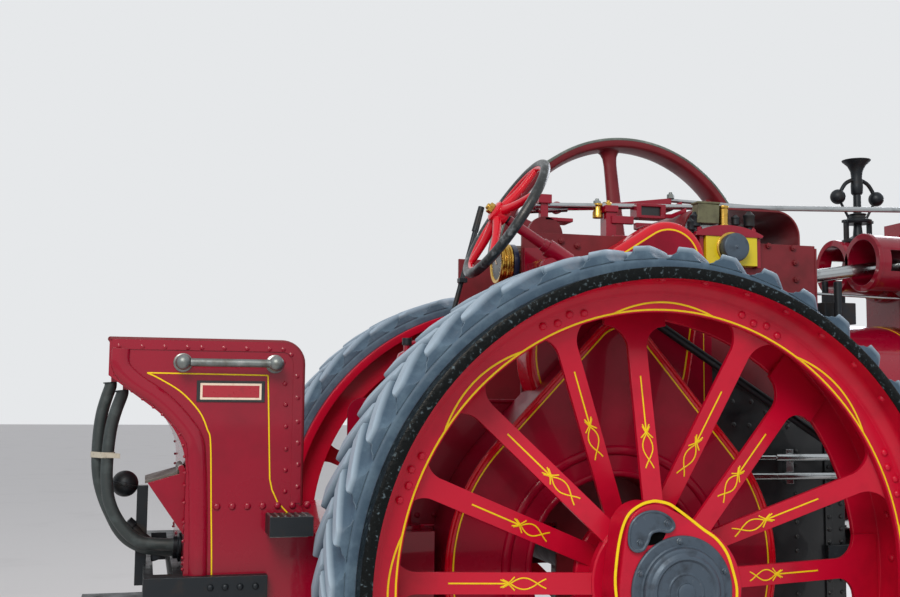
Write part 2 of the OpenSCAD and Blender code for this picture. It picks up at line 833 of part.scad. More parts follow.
module sweep(points, r, sides) {
    n = len(points);
    ring = function(i)
        let (
            v = points[min(i + 1, n - 1)] - points[max(i - 1, 0)],
            t = v / norm(v),
            side = cross(t, [0, 1, 0]),
            s = side / norm(side),
            u = cross(s, t)
        )
        [for (k = [0 : sides - 1]) points[i] + r * (cos(360 * k / sides) * s + sin(360 * k / sides) * u)];
    corner = function(i, k) i * sides + k % sides;
    polyhedron(
        points = [for (i = [0 : n - 1]) each ring(i)],
        faces = [
            [for (k = [0 : sides - 1]) k],
            for (i = [0 : n - 2], k = [0 : sides - 1])
                [corner(i, k), corner(i + 1, k), corner(i + 1, k + 1), corner(i, k + 1)],
            [for (k = [sides - 1 : -1 : 0]) corner(n - 1, k)]
        ]
    );
}

module suction_hose() {
    color("#2e3330") for (run = hose_runs)
        sweep([for (p = run[1]) [p[0], run[0], p[1]]], hose_r, 12);
}

module brake_stand() {
    top = 1830;
    reach = 120;
    spindle_r = 12;
    translate([-720, -500, 0]) {
        color("#8e1420") translate([0, 0, footplate_z]) {
            cylinder(h = 14, r = 55);
            cylinder(h = top - footplate_z - 60, r = 22);
        }
        color("#26282a") {
            translate([0, 0, top - 70]) cylinder(h = 80, r = spindle_r);
            bar([0, 0, top], [reach, 0, top + 4], 9);
            translate([reach, 0, top + 4]) cylinder(h = 70, r = spindle_r);
        }
    }
}

// Steering

function on_shaft(x) = [x, -shaft_y, column_at[1] - (x - column_at[0]) * tan(steering_slope)];

module along_shaft(x) {
    translate(on_shaft(x)) rotate([0, 90 + steering_slope, 0]) children();
}

module steering_bracket() {
    sleeve = [95, steering_shaft_r + 16];
    foot = [100, 16, 120];
    arm = [60, shaft_y - horn_in - horn_t, 56];
    back = column_at[0] - 80;
    low = column_at[1] - 73;
    color("#8e1420") difference() {
        union() {
            along_shaft(column_at[0] - 49) cylinder(h = sleeve[0], r = sleeve[1]);
            translate([back + 14, -shaft_y, low + 5]) cube(arm);
            translate([back, -horn_in - horn_t - foot[1], low]) cube(foot);
        }
        along_shaft(column_at[0] - 60) cylinder(h = 260, r = steering_shaft_r + running);
    }
}

module steering_wheel() {
    bead_r = 18;
    hub = [60, 38];
    hub_low = -28;
    spoke = [steering_wheel_d / 2 - 58, 32, 16];
    color("#26282a") along_shaft(wheel_back) translate([0, 0, 30])
        rotate_extrude() translate([steering_wheel_d / 2 - bead_r, 0]) circle(r = bead_r);
    color("#a01222") along_shaft(wheel_back) difference() {
        union() {
            translate([0, 0, hub_low]) cylinder(h = hub[0], r = hub[1]);
            for (k = [0 : 4]) rotate([0, 0, 72 * k]) translate([30, -spoke[1] / 2, 8]) cube(spoke);
        }
        translate([0, 0, hub_low - over]) cylinder(h = hub[0] + 2 * over, r = steering_shaft_r);
    }
}

worm_at = on_shaft(worm_x);
drum_at = [
    worm_x - (worm_wheel_r + worm_r) * sin(steering_slope), 0,
    worm_at[2] - (worm_wheel_r + worm_r) * cos(steering_slope)
];

module steering_shaft() {
    back = 26;
    front = 100;
    worm_h = 110;
    length = norm(worm_at - on_shaft(wheel_back));
    color("#8b9094") along_shaft(wheel_back) translate([0, 0, -back])
        cylinder(h = length + back + front, r = steering_shaft_r);
    color("#26282a") along_shaft(worm_x) translate([0, 0, -worm_h / 2]) cylinder(h = worm_h, r = worm_r - 3);
}

module chain_barrel() {
    half = 330;
    cheek = [15, drum_r + 14];
    wheel_w = 56;
    color("#26282a") translate(drum_at) rotate([90, 0, 0]) {
        translate([0, 0, -drum_end - 30]) cylinder(h = drum_end + shaft_y + 60, r = drum_shaft_r);
        translate([0, 0, -half]) cylinder(h = 2 * half, r = drum_r);
        for (z = [-half - cheek[0], half]) translate([0, 0, z]) cylinder(h = cheek[0], r = cheek[1]);
        translate([0, 0, shaft_y - wheel_w / 2]) cylinder(h = wheel_w, r = worm_wheel_r - 3);
    }
}

module barrel_brackets() {
    t = 24;
    eye_r = 60;
    back = firebox_front - 90;
    drum_x = drum_at[0];
    low = drum_at[2] - eye_r;
    shaft_end = worm_x + 70;
    color("#26282a") difference() {
        union() {
            for (y = [-horn_in - t, horn_in]) translate([0, y, 0]) {
                translate([back, 0, low]) cube([drum_x - back, t, 2 * eye_r]);
                translate([drum_x, t, drum_at[2]]) rotate([90, 0, 0]) cylinder(h = t, r = eye_r);
            }
            translate([drum_x, -horn_in - t, low]) cube([shaft_end + 30 - drum_x, t, 150]);
            along_shaft(shaft_end) cylinder(h = 36, r = 36);
            translate([shaft_end, -shaft_y, drum_at[2] + 45]) cube([30, shaft_y - horn_in, 45]);
        }
        translate(drum_at) rotate([90, 0, 0])
            cylinder(h = 4 * drum_end, r = drum_shaft_r + running, center = true);
        along_shaft(shaft_end - 10) cylinder(h = 60, r = steering_shaft_r + running);
    }
}

// Flat links, every other one turned on edge, from one point to another
module chain(a, b, links) {
    v = b - a;
    pitch = norm(v) / links;
    translate(a) rotate([0, acos(v[2] / norm(v)), atan2(v[1], v[0])])
        for (k = [0 : links - 1]) translate([0, 0, (k + 0.5) * pitch]) rotate([0, 0, 90 * (k % 2)]) {
            length = k % (links - 1) == 0 ? pitch : pitch + chain_r;
            cube([2 * chain_r, 2 * chain_r / 3, length], center = true);
        }
}

// The left chain leaves the top of the drum and the right one leaves its underside
module steering_chains() {
    r = chain_r;
    drum = [drum_at[0], drum_at[2]];
    back = wheelbase - eye_reach;
    run = [back - drum[0], chain_eye_y - drum_chain_y, front_axle_z - drum[1]];
    eye = [back - 2 * air - r * norm([run[1], run[2]]) / norm(run), front_axle_z];
    v = eye - drum;
    wrap_r = drum_r + r + air;
    color("#3a3c3e") for (s = [-1, 1]) {
        slope = atan2(-v[1], v[0]) + s * asin(wrap_r / norm(v));
        start = drum + s * wrap_r * [sin(slope), cos(slope)];
        chain([start[0], s * drum_chain_y, start[1]], [eye[0], s * chain_eye_y, eye[1]], chain_links);
    }
}

// Front axle and its bracket

module perch_bracket() {
    block = [300, 380, 260];
    neck = [200, 200, 160];
    foot_z = front_axle_z + 70;
    collar_h = 45;
    collar_z = front_axle_z - 120;
    color("#1b1c1e") translate([wheelbase, 0, 0]) {
        difference() {
            union() {
                translate([-block[0] / 2, -block[1] / 2, foot_z + 150]) cube(block);
                translate([-neck[0] / 2, -neck[1] / 2, foot_z]) cube(neck);
            }
            translate([-wheelbase, 0, 0]) boiler_shell(smokebox_r, smokebox_back, smokebox_front);
        }
        translate([0, 0, collar_z + 10]) cylinder(h = foot_z - collar_z, r = perch_pin_r);
        translate([0, 0, collar_z]) cylinder(h = collar_h, r = perch_pin_r + 20);
    }
}

module front_axle() {
    beam = [110, 2 * (front_wheel_y - 160), 120];
    boss = [130, 95];
    eye = [40, 30, 50];
    color("#1b1c1e") difference() {
        translate([wheelbase, 0, front_axle_z]) {
            cube(beam, center = true);
            cylinder(h = boss[0], r = boss[1], center = true);
            both_sides() {
                translate([0, -beam[1] / 2 + over, 0]) rotate([90, 0, 0])
                    cylinder(h = front_wheel_y + 138 - beam[1] / 2, r = front_journal_r);
                translate([-eye_reach, -chain_eye_y - eye[1] / 2, -eye[2] / 2]) cube(eye);
            }
        }
        translate([wheelbase, 0, 0]) cylinder(h = 3 * front_axle_z, r = perch_pin_r + running);
    }
}

// Wheels are drawn with the axle along Z and the engine's right upwards
module on_axle(x, z) {
    translate([x, 0, z]) rotate([90, 0, 0]) children();
}

module front_axle_end() {
    on_axle(wheelbase, front_axle_z) children();
}

module rear_axle_end() {
    on_axle(0, rear_axle_z) children();
}

module front_wheel() {
    outer = front_wheel_d / 2 - front_tyre_t;
    rim = 24;
    web = [60, 14];
    hub_w = 280;
    spoke = [50, 13];
    low = front_wheel_y - front_rim_w / 2;
    hub_low = front_wheel_y - hub_w / 2;
    color("#b3122a") difference() {
        union() {
            rotate_extrude() {
                tube_section(outer, outer - rim, low, low + front_rim_w);
                tube_section(outer - rim + over, outer - rim - web[0],
                             front_wheel_y - web[1] / 2, front_wheel_y + web[1] / 2);
                tube_section(front_hub_r, 0, hub_low, hub_low + hub_w);
            }
            for (k = [0 : front_spokes - 1]) rotate([0, 0, 360 * k / front_spokes])
                translate([front_hub_r - 10, -spoke[0] / 2, front_wheel_y + (k % 2 == 0 ? 6.5 : -19.5)])
                    cube([outer - rim - front_hub_r + 5, spoke[0], spoke[1]]);
        }
        translate([0, 0, hub_low - over]) cylinder(h = hub_w + 2 * over, r = front_journal_r + running);
    }
    color("#26282a") translate([0, 0, hub_low + hub_w + air]) cylinder(h = 30, r = front_hub_r - 12);
}

module front_tyre() {
    low = front_wheel_y - front_rim_w / 2 + 10;
    color("#6c7174") rotate_extrude()
        tube_section(front_wheel_d / 2, front_wheel_d / 2 - front_tyre_t, low, low + front_rim_w - 20);
}

// Rear wheels

module spoke_outline() {
    foot_r = foot_half - spoke_w / 2;
    foot_start = ring_in_r + 10 - foot_r;
    foot_end = rim_in_r - 20;
    translate([hub_r - 20, -spoke_w / 2]) square([foot_end + 10 - hub_r, spoke_w]);
    difference() {
        translate([foot_start, -foot_half]) square([foot_end - foot_start, 2 * foot_half]);
        for (s = [-1, 1]) translate([foot_start, s * foot_half]) circle(r = foot_r);
    }
}

module rear_wheel() {
    tilt = atan((outer_ring_y - ring_t - spoke_t - 60 - inner_ring_y) / (ring_in_r - hub_r));
    step = 360 / spokes_per_ring;
    foot_end = rim_in_r - 20;
    color("#b3122a") difference() {
        union() {
            rotate_extrude() {
                tube_section(rim_r, rim_in_r, rear_rim_inner, rear_rim_outer);
                for (y = [inner_ring_y, outer_ring_y])
                    tube_section(rim_in_r + over, ring_in_r, y - ring_t, y);
                tube_section(hub_r, 0, hub_in, rear_rim_outer - 20);
                tube_section(hub_flange_r, 0, hub_flange_y, hub_flange_y + hub_flange_t);
                translate([rim_in_r - rim_fillet, outer_ring_y]) difference() {
                    translate([0, -over]) square([rim_fillet + over, rim_fillet + over]);
                    translate([0, rim_fillet]) circle(r = rim_fillet);
                }
            }
            for (k = [0 : spokes_per_ring - 1]) {
                rotate([0, 0, step * (k + 0.5)]) translate([0, 0, outer_ring_y - ring_t - spoke_t])
                    linear_extrude(height = spoke_t) spoke_outline();
                rotate([0, 0, step * k]) translate([foot_end, 0, inner_ring_y - ring_t / 2])
                    rotate([0, tilt, 0]) translate([-foot_end, 0, 0])
                        linear_extrude(height = spoke_t) spoke_outline();
            }
            translate([0, 0, rear_rim_outer - boss_t]) bridge(boss_t, [0, 0], boss_r, pin_at, lobe_r);
        }
        translate([0, 0, hub_in - over]) cylinder(h = rear_rim_w + 20, r = axle_r + running);
    }
}

module hub_cap() {
    flange = [10, cap_r + 42];
    pin_cover = [16, 78];
    color("#3a3d40") {
        translate([0, 0, rear_rim_outer]) cylinder(h = flange[0], r = flange[1]);
        translate([0, 0, rear_rim_outer]) cylinder(h = cap_out, r = cap_r);
        translate([pin_at[0], pin_at[1], rear_rim_outer]) cylinder(h = pin_cover[0], r = pin_cover[1]);
    }
}

// Both rows of lugs lean ahead towards the middle, and the far row stands half a pitch on
module rear_tyre() {
    pitch = 360 / lugs;
    top = rear_axle_z;
    foot = tyre_base_r;
    near = rear_rim_outer - tyre_in;
    far = near - rear_tyre_w;
    middle = (near + far) / 2;
    near_top = near - lug_slope;
    far_top = far + lug_slope;
    crown = lug_slope / 2;
    bore = (rim_r + running) / cos(pitch / 4);
    lead = lug_lead;
    at = function(r, turn, z) [r * cos(turn), r * sin(turn), z];
    // Columns: radius, share of the pitch, degrees of lead, place across the tread
    corners = [
        [foot, 0, 0, near], [foot, 0.5, 0, near], [top, 0.1, 0, near_top], [top, 0.4, 0, near_top],
        [foot, 0, lead, middle], [foot, 0.5, lead, middle],
        [top, 0.1, lead, middle + crown], [top, 0.4, lead, middle + crown],
        [top, 0.6, lead, middle - crown], [top, 0.9, lead, middle - crown],
        [foot, 0.5, 0, far], [foot, 1, 0, far], [top, 0.6, 0, far_top], [top, 0.9, 0, far_top],
        [bore, 0, 0, near], [bore, 0.5, 0, near], [bore, 0.5, 0, far], [bore, 1, 0, far]
    ];
    n = len(corners);
    // Each face's corners, as rows of the table; n is added for the next pitch's
    faces = [
        [4, 6, 2, 0], [6, 7, 3, 2], [7, 5, 1, 3], [5, 4 + n, n, 1], [1, 0, 2, 3], [4, 5, 7, 6],
        [10, 12, 8, 5], [12, 13, 9, 8], [13, 11, 4 + n, 9], [11 - n, 10, 5, 4], [10, 11, 13, 12],
        [4 + n, 5, 8, 9], [15, 14, 0, 1], [14 + n, 15, 1, n], [16, 17, 11, 10], [17, 16 + n, 10 + n, 11],
        [14, 15, 16, 17 - n], [15, 14 + n, 17, 16]
    ];
    total = n * lugs;
    start = -90 - 0.1 * pitch;
    color("#7d8486") polyhedron(
        points = [
            for (i = [0 : lugs - 1], c = corners) at(c[0], start + (i + c[1]) * pitch - c[2], c[3])
        ],
        faces = [
            for (i = [0 : lugs - 1], f = faces)
                let (g = [for (k = f) (k + i * n + total) % total])
                each [[g[2], g[1], g[0]], [g[3], g[2], g[0]]]
        ]
    );
}

module rear_axle() {
    half = rear_rim_outer - 6;
    color("#3a3c3e") translate([0, half, rear_axle_z]) rotate([90, 0, 0]) cylinder(h = 2 * half, r = axle_r);
}

from_rear_axle() {
    boiler_barrel();
    firebox();
    hornplates();
    firehole_door();
    pressure_gauge();
    smokebox();
    smokebox_front();
    smokebox_door();
    chimney_base();
    chimney();
    chimney_cap();
    cylinder_block();
    trunk_guides();
    connecting_rods();
    motion_cover();
    crank_bearings();
    crankshaft();
    flywheel();
    drive_cover();
    gear_case();
    reach_rods();
    governor();
    safety_valve();
    feed_pipes();
    ash_pan();
    rear_axle();
    tender();
    filler_hopper();
    filler_lid();
    drawbar_frame();
    steps();
    grab_handles();
    suction_hose();
    brake_stand();
    steering_bracket();
    steering_wheel();
    steering_shaft();
    barrel_brackets();
    chain_barrel();
    steering_chains();
    perch_bracket();
    front_axle();
    front_axle_end() front_wheel();  // front_wheel_right
    on_left() front_axle_end() front_wheel();  // front_wheel_left
    front_axle_end() front_tyre();  // front_tyre_right
    on_left() front_axle_end() front_tyre();  // front_tyre_left
    rear_axle_end() rear_wheel();  // rear_wheel_right
    on_left() rear_axle_end() rear_wheel();  // rear_wheel_left
    rear_axle_end() rear_tyre();  // rear_tyre_right
    on_left() rear_axle_end() rear_tyre();  // rear_tyre_left
    rear_axle_end() hub_cap();  // hub_cap_right
    on_left() rear_axle_end() hub_cap();  // hub_cap_left
}
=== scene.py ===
# %% [markdown]
# # A steam traction engine
# The solids come from the CAD model and stay where they are. This lesson dresses them: paint,
# iron, rubber and brass first, then the pieces that a fitter and a sign painter would add.
# %% Load the engine
import json
from math import acos, atan2, cos, degrees, hypot, pi, radians, sin, sqrt, tan

import bmesh
import bpy
from mathutils import Matrix, Vector


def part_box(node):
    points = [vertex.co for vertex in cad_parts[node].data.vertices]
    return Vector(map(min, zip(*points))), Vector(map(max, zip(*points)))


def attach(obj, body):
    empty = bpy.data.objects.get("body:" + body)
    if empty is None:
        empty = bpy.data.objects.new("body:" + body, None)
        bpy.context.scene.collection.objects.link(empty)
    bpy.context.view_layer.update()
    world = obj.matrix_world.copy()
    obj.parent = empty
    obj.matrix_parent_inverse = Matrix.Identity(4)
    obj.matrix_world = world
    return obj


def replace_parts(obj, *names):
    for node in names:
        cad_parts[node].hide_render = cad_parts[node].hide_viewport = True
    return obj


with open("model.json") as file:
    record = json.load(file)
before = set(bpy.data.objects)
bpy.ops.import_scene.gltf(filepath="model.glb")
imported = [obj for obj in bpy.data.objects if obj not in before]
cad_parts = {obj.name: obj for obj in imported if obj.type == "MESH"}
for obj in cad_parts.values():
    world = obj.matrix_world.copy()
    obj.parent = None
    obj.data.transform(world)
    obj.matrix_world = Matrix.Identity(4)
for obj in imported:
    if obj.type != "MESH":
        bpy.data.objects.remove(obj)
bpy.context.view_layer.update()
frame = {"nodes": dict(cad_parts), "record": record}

REAR_X = sum(corner.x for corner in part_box("rear_axle")) / 2
AXLE_Z = 1067
print("CAD nodes:", len(frame["nodes"]), " rear axle at x", round(REAR_X, 4))


# %% [markdown]
# The drawing measures from the rear axle in millimetres: x forward, `out` to the engine's
# right and z up. One function turns that into Blender's metres, so that every number below
# can be checked with a tape on the drawing.
# %% Points in millimetres from the rear axle
AHEAD, BACK, RIGHT, LEFT, UP = (1, 0, 0), (-1, 0, 0), (0, -1, 0), (0, 1, 0), (0, 0, 1)


def place(x, out, z):
    return Vector((x / 1000 + REAR_X, -out / 1000, z / 1000))


def face_at(out):
    """A flat face that looks to the right: its u is x and its v is z."""
    return lambda u, v, h=0: place(u, out + h, v)


def wheel_face(out):
    """The same, with u and v measured from the rear axle's centre."""
    return lambda u, v, h=0: place(u, out + h, v + AXLE_Z)


def polar(r, angle):
    return r * cos(radians(angle)), r * sin(radians(angle))


print("a point of the tender's corner:", place(-1090, 600, 1820))


# %% [markdown]
# Nearly everything on such an engine is turned, rolled, bent from bar or cut from plate.
# All four are rings of points joined by faces, so one function does the joining.
# %% Lofts and turned pieces
def loft(rings, closed=False):
    n = len(rings[0])
    points = [p for ring in rings for p in ring]
    pairs = list(zip(range(len(rings) - 1), range(1, len(rings))))
    if closed:
        pairs.append((len(rings) - 1, 0))
    faces = [(i * n + k, i * n + (k + 1) % n, j * n + (k + 1) % n, j * n + k)
             for i, j in pairs for k in range(n)]
    if not closed:
        faces += [tuple(range(n))[::-1], tuple(range(len(points) - n, len(points)))]
    return points, faces


def square_axes(axis):
    axis = Vector(axis).normalized()
    side = axis.orthogonal().normalized()
    return axis, side, axis.cross(side)


def full_turn(steps):
    return [2 * pi * k / steps for k in range(steps)]


def turned(profile, centre, axis, sides=64, closed=False):
    """A piece from the lathe: its profile is (radius, height) pairs in mm along the axis."""
    axis, side, third = square_axes(axis)
    rings = [[centre + axis * (h / 1000) + (side * cos(a) + third * sin(a)) * (r / 1000)
              for a in full_turn(sides)] for r, h in profile]
    return loft(rings, closed)


def rolled(section, centre, axis, sides=64):
    """A hoop: its section is (radius, height) pairs in mm, rolled round the axis."""
    return turned(section, centre, axis, sides, closed=True)


hoop = rolled([(9, 0), (10, 0), (10, 2), (9, 2)], place(0, 0, 0), UP)
print("a rolled hoop has", len(hoop[1]), "faces")


# %% [markdown]
# Pipes, rods and hoses are bars swept along a path, and sheet work is an outline with a
# thickness. Blender's own curves could do both; a loft keeps every size in millimetres.
# %% Tubes, plates and blocks
def tube(path, r, sides=12, closed=False):
    """A bar along points; r in mm is one radius or one for each point."""
    radii = r if hasattr(r, "__len__") else [r] * len(path)
    n = len(path)
    rings, side = [], None
    for i, p in enumerate(path):
        before = path[i - 1] if i or closed else p
        after = path[(i + 1) % n] if i < n - 1 or closed else p
        along = (after - before).normalized()
        side = along.orthogonal() if side is None else side - along * side.dot(along)
        side.normalize()
        third = along.cross(side)
        rings.append([p + (side * cos(a) + third * sin(a)) * (radii[i] / 1000)
                      for a in full_turn(sides)])
    return loft(rings, closed)


def plate(outline, put, low, high):
    """An outline (u, v) cut from plate, between two heights over a face."""
    return loft([[put(u, v, h) for u, v in outline] for h in (low, high)])


def block(x, out, z, length, width, height):
    """A block from its middle and its sizes, along the engine's axes."""
    corners = ((-1, -1), (1, -1), (1, 1), (-1, 1))
    outline = [(x + a * length / 2, z + b * height / 2) for a, b in corners]
    return plate(outline, face_at(out), -width / 2, width / 2)


print("a block has", len(block(0, 0, 0, 10, 10, 10)[0]), "corners")


# %% [markdown]
# A painted line is a strip as wide as the brush and a fraction of a millimetre proud of the
# enamel. The same sweep with a round top makes the beads that stiffen thin plate. Smooth
# lines run through a few measured points; arcs and belts come from their radii.
# %% Painted lines, beads and curves
def stripe(line, put, width, lift=0.6, closed=False, round_top=0):
    """A painted line, or a pressed bead where round_top is its height, along (u, v) points."""
    n = len(line)
    rings = []
    for i, (u, v) in enumerate(line):
        a = line[i - 1] if i or closed else line[i]
        b = line[(i + 1) % n] if i < n - 1 or closed else line[i]
        length = hypot(b[0] - a[0], b[1] - a[1]) or 1
        du, dv = -(b[1] - a[1]) / length, (b[0] - a[0]) / length
        if round_top:
            section = [(cos(t) * width / 2, sin(t) * round_top)
                       for t in (pi * k / 8 for k in range(9))]
            section = [(width / 2, -1)] + section + [(-width / 2, -1)]
        else:
            section = [(width / 2, -0.4), (width / 2, lift),
                       (-width / 2, lift), (-width / 2, -0.4)]
        rings.append([put(u + du * s, v + dv * s, h) for s, h in section])
    return loft(rings, closed)


def curve(points, steps=6, closed=False):
    """A smooth line through (u, v) points or Vectors."""
    points = [Vector(p) for p in points]
    n = len(points)
    get = (lambda i: points[i % n]) if closed else (lambda i: points[max(0, min(n - 1, i))])
    made = []
    for i in range(n if closed else n - 1):
        a, b, c, d = (get(i + k) for k in (-1, 0, 1, 2))
        for s in range(steps):
            t = s / steps
            made.append((b * 2 + (c - a) * t + (a * 2 - b * 5 + c * 4 - d) * t * t
                         + (b * 3 - a - c * 3 + d) * t ** 3) / 2)
    return made if closed else made + [points[-1]]


def arc(u, v, r, start, end, steps=16):
    turns = (start + (end - start) * k / steps for k in range(steps + 1))
    return [(u + x, v + z) for x, z in (polar(r, turn) for turn in turns)]


def circle(u, v, r, steps=120):
    return [(u + x, v + z) for x, z in (polar(r, 360 / steps * k) for k in range(steps))]


def belt(p, pr, q, qr, inset=0, steps=48):
    """The outline of a belt round two circles, moved in by an inset."""
    far = hypot(q[0] - p[0], q[1] - p[1])
    way = degrees(atan2(q[1] - p[1], q[0] - p[0]))
    swing = degrees(acos((pr - qr) / far))
    return (arc(*p, pr - inset, way + swing, way + 360 - swing, steps)
            + arc(*q, qr - inset, way - swing, way + swing, steps // 2))


print("a belt round two circles has", len(belt((0, 0), 20, (90, 0), 10)), "points")


# %% [markdown]
# Small hardware repeats all over the engine: plates with a round hole, snap-head rivets and
# hexagonal bolts. Each is a light loft, so that hundreds of them cost little.
# %% Holes, rivets and bolts
def holed(outline, u, v, r, put, low, high):
    """A plate with a round hole: each ray from the hole's centre meets the outline once."""
    n = len(outline)
    turns = {round(degrees(atan2(b - v, a - u)), 4) for a, b in outline}
    turns |= {k * 7.5 - 180 for k in range(48)}
    outer, inner = [], []
    for turn in sorted(turns):
        du, dv = cos(radians(turn)), sin(radians(turn))
        reach = 0
        for i in range(n):
            (a, b), (c, d) = outline[i], outline[(i + 1) % n]
            cross = du * (d - b) - dv * (c - a)
            if abs(cross) > 1e-9:
                t = ((a - u) * (d - b) - (b - v) * (c - a)) / cross
                s = ((a - u) * dv - (b - v) * du) / cross
                if t > 0 and -1e-6 <= s <= 1 + 1e-6:
                    reach = max(reach, t)
        outer.append((u + du * reach, v + dv * reach))
        inner.append((u + du * r, v + dv * r))
    edges = ((outer, low), (outer, high), (inner, high), (inner, low))
    return loft([[put(a, b, h) for a, b in line] for line, h in edges], closed=True)


def rivet(centre, axis, r=9, height=6):
    dome = [(r, -2), (r, 0), (r * 0.93, height * 0.45), (r * 0.7, height * 0.8), (r * 0.33, height)]
    return turned(dome, centre, axis, 12)


def rivet_row(face, points, r=9, height=6):
    return [rivet(face(x, z), RIGHT, r, height) for x, z in points]


def bolt(centre, axis, r=11, height=9):
    """A hexagonal head with a short end of the bolt standing out of it."""
    top = centre + Vector(axis).normalized() * height / 1000
    head = turned([(r, -2), (r, height * 0.85), (r * 0.88, height)], centre, axis, 6)
    end = [(r * 0.5, 0), (r * 0.5, height * 0.4), (r * 0.4, height * 0.5)]
    return [head, turned(end, top, axis, 12)]


def mirrored(solids):
    return [([Vector((p.x, -p.y, p.z)) for p in points], faces) for points, faces in solids]


print("a rivet has", len(rivet(place(0, 0, 0), RIGHT)[0]), "points")


# %% [markdown]
# Solids that are made of one material and move together become one Blender object. It
# rides on a body of the engine, so a wheel's rivets turn with the wheel.
# %% Turn solids into a piece
def piece(name, body, paint, solids, bevel=0, sharp=35):
    points, faces = [], []
    for solid_points, solid_faces in solids:
        start = len(points)
        points += solid_points
        faces += [tuple(i + start for i in face) for face in solid_faces]
    mesh = bpy.data.meshes.new(name)
    mesh.from_pydata(points, [], faces)
    made = bmesh.new()
    made.from_mesh(mesh)
    bmesh.ops.recalc_face_normals(made, faces=made.faces)
    made.to_mesh(mesh)
    made.free()
    mesh.shade_smooth()
    mesh.set_sharp_from_angle(angle=radians(sharp))
    mesh.materials.append(paint)
    obj = bpy.data.objects.new(name, mesh)
    bpy.context.scene.collection.objects.link(obj)
    if bevel:
        edge = obj.modifiers.new("rounded_edges", "BEVEL")
        edge.width, edge.segments, edge.limit_method = bevel / 1000, 2, "ANGLE"
        edge.harden_normals = True
    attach(obj, body)
    return obj


def pair(name, body, paint, solids, **how):
    """The right piece and its mirror image, each on its own body."""
    return [piece(f"{name}_{side}", f"{body}_{side}", paint, made, **how)
            for side, made in (("right", solids), ("left", mirrored(solids)))]


def both_sides(name, paint, solids, **how):
    """Solids and their mirror images as one piece of the engine."""
    return piece(name, "engine", paint, solids + mirrored(solids), **how)


# %% [markdown]
# A finish starts from the real coat. Gloss enamel is a smooth colour under a clear, hard
# skin; iron is dark and rough with a metal's shine where it is rubbed; rubber is matt and
# dusty. Each is a Principled shader whose colour, roughness and bump come from noise at a
# size in millimetres, and whose edges show the wear that hands and boots leave.
# %% Colours and nodes
def linear(code):
    """An sRGB hex colour as the linear values that Blender works in."""
    parts = [int(code[i:i + 2], 16) / 255 for i in (1, 3, 5)]
    return [p / 12.92 if p <= 0.04045 else ((p + 0.055) / 1.055) ** 2.4 for p in parts] + [1]


def add(tree, kind, links=None, **settings):
    """Adds a node: settings are its own properties, links its inputs by name or number."""
    made = tree.nodes.new(kind)
    for name, value in settings.items():
        setattr(made, name, value)
    for socket, value in (links or {}).items():
        if isinstance(value, bpy.types.NodeSocket):
            tree.links.new(value, made.inputs[socket])
        else:
            made.inputs[socket].default_value = value
    return made


def coat(weight, roughness=None, under=None):
    """The shader's inputs for a clear skin, and for how much the colour under it reflects."""
    said = {"Coat Weight": weight, "Coat Roughness": roughness, "Specular IOR Level": under}
    return {socket: value for socket, value in said.items() if value is not None}


def finish(name, colour, marks, edges=None, marks_mm=120, marks_from=0.55, grain_mm=3,
           relief_mm=0.3, rough=(0.3, 0.5), edge_mm=3, edge_wear=0.5, **sockets):
    """Colour with patches of marks, worn edges, fine relief and uneven roughness."""
    material = bpy.data.materials.new(name)
    material.use_nodes = True
    tree = material.node_tree
    shader = tree.nodes["Principled BSDF"]
    where = add(tree, "ShaderNodeTexCoord").outputs["Object"]
    patches = add(tree, "ShaderNodeTexNoise", {
        "Vector": where, "Scale": 1000 / marks_mm, "Detail": 8, "Roughness": 0.62}).outputs["Fac"]
    mask = add(tree, "ShaderNodeMapRange", {
        "Value": patches, "From Min": marks_from, "From Max": marks_from + 0.22}).outputs["Result"]
    tint = add(tree, "ShaderNodeMix", {0: mask, 6: linear(colour), 7: linear(marks)},
               data_type="RGBA").outputs[2]
    round_edge = add(tree, "ShaderNodeBevel", {"Radius": edge_mm / 1000},
                     samples=4).outputs["Normal"]
    if edges:
        flat = add(tree, "ShaderNodeNewGeometry").outputs["Normal"]
        turn = add(tree, "ShaderNodeVectorMath", {0: round_edge, 1: flat},
                   operation="DOT_PRODUCT").outputs["Value"]
        rub = add(tree, "ShaderNodeMath", {0: turn, 1: patches}, operation="ADD").outputs["Value"]
        worn = add(tree, "ShaderNodeMapRange", {
            "Value": rub, "From Min": 0.95 + edge_wear, "From Max": 0.75 + edge_wear,
            "To Max": 0.9}).outputs["Result"]
        tint = add(tree, "ShaderNodeMix", {0: worn, 6: tint, 7: linear(edges)},
                   data_type="RGBA").outputs[2]
    grain = add(tree, "ShaderNodeTexNoise", {
        "Vector": where, "Scale": 1000 / grain_mm, "Detail": 3}).outputs["Fac"]
    tree.links.new(tint, shader.inputs["Base Color"])
    uneven = add(tree, "ShaderNodeMapRange", {
        "Value": patches, "From Min": 0.35, "From Max": 0.7,
        "To Min": rough[0], "To Max": rough[1]}).outputs["Result"]
    tree.links.new(uneven, shader.inputs["Roughness"])
    bump = add(tree, "ShaderNodeBump", {
        "Height": grain, "Distance": relief_mm / 1000, "Strength": 0.5,
        "Normal": round_edge}).outputs["Normal"]
    tree.links.new(bump, shader.inputs["Normal"])
    if sockets.get("Coat Weight"):
        tree.links.new(round_edge, shader.inputs["Coat Normal"])
    for socket, value in sockets.items():
        shader.inputs[socket].default_value = linear(value) if isinstance(value, str) else value
    return material


print("crimson is", [round(c, 3) for c in linear("#a01222")[:3]])

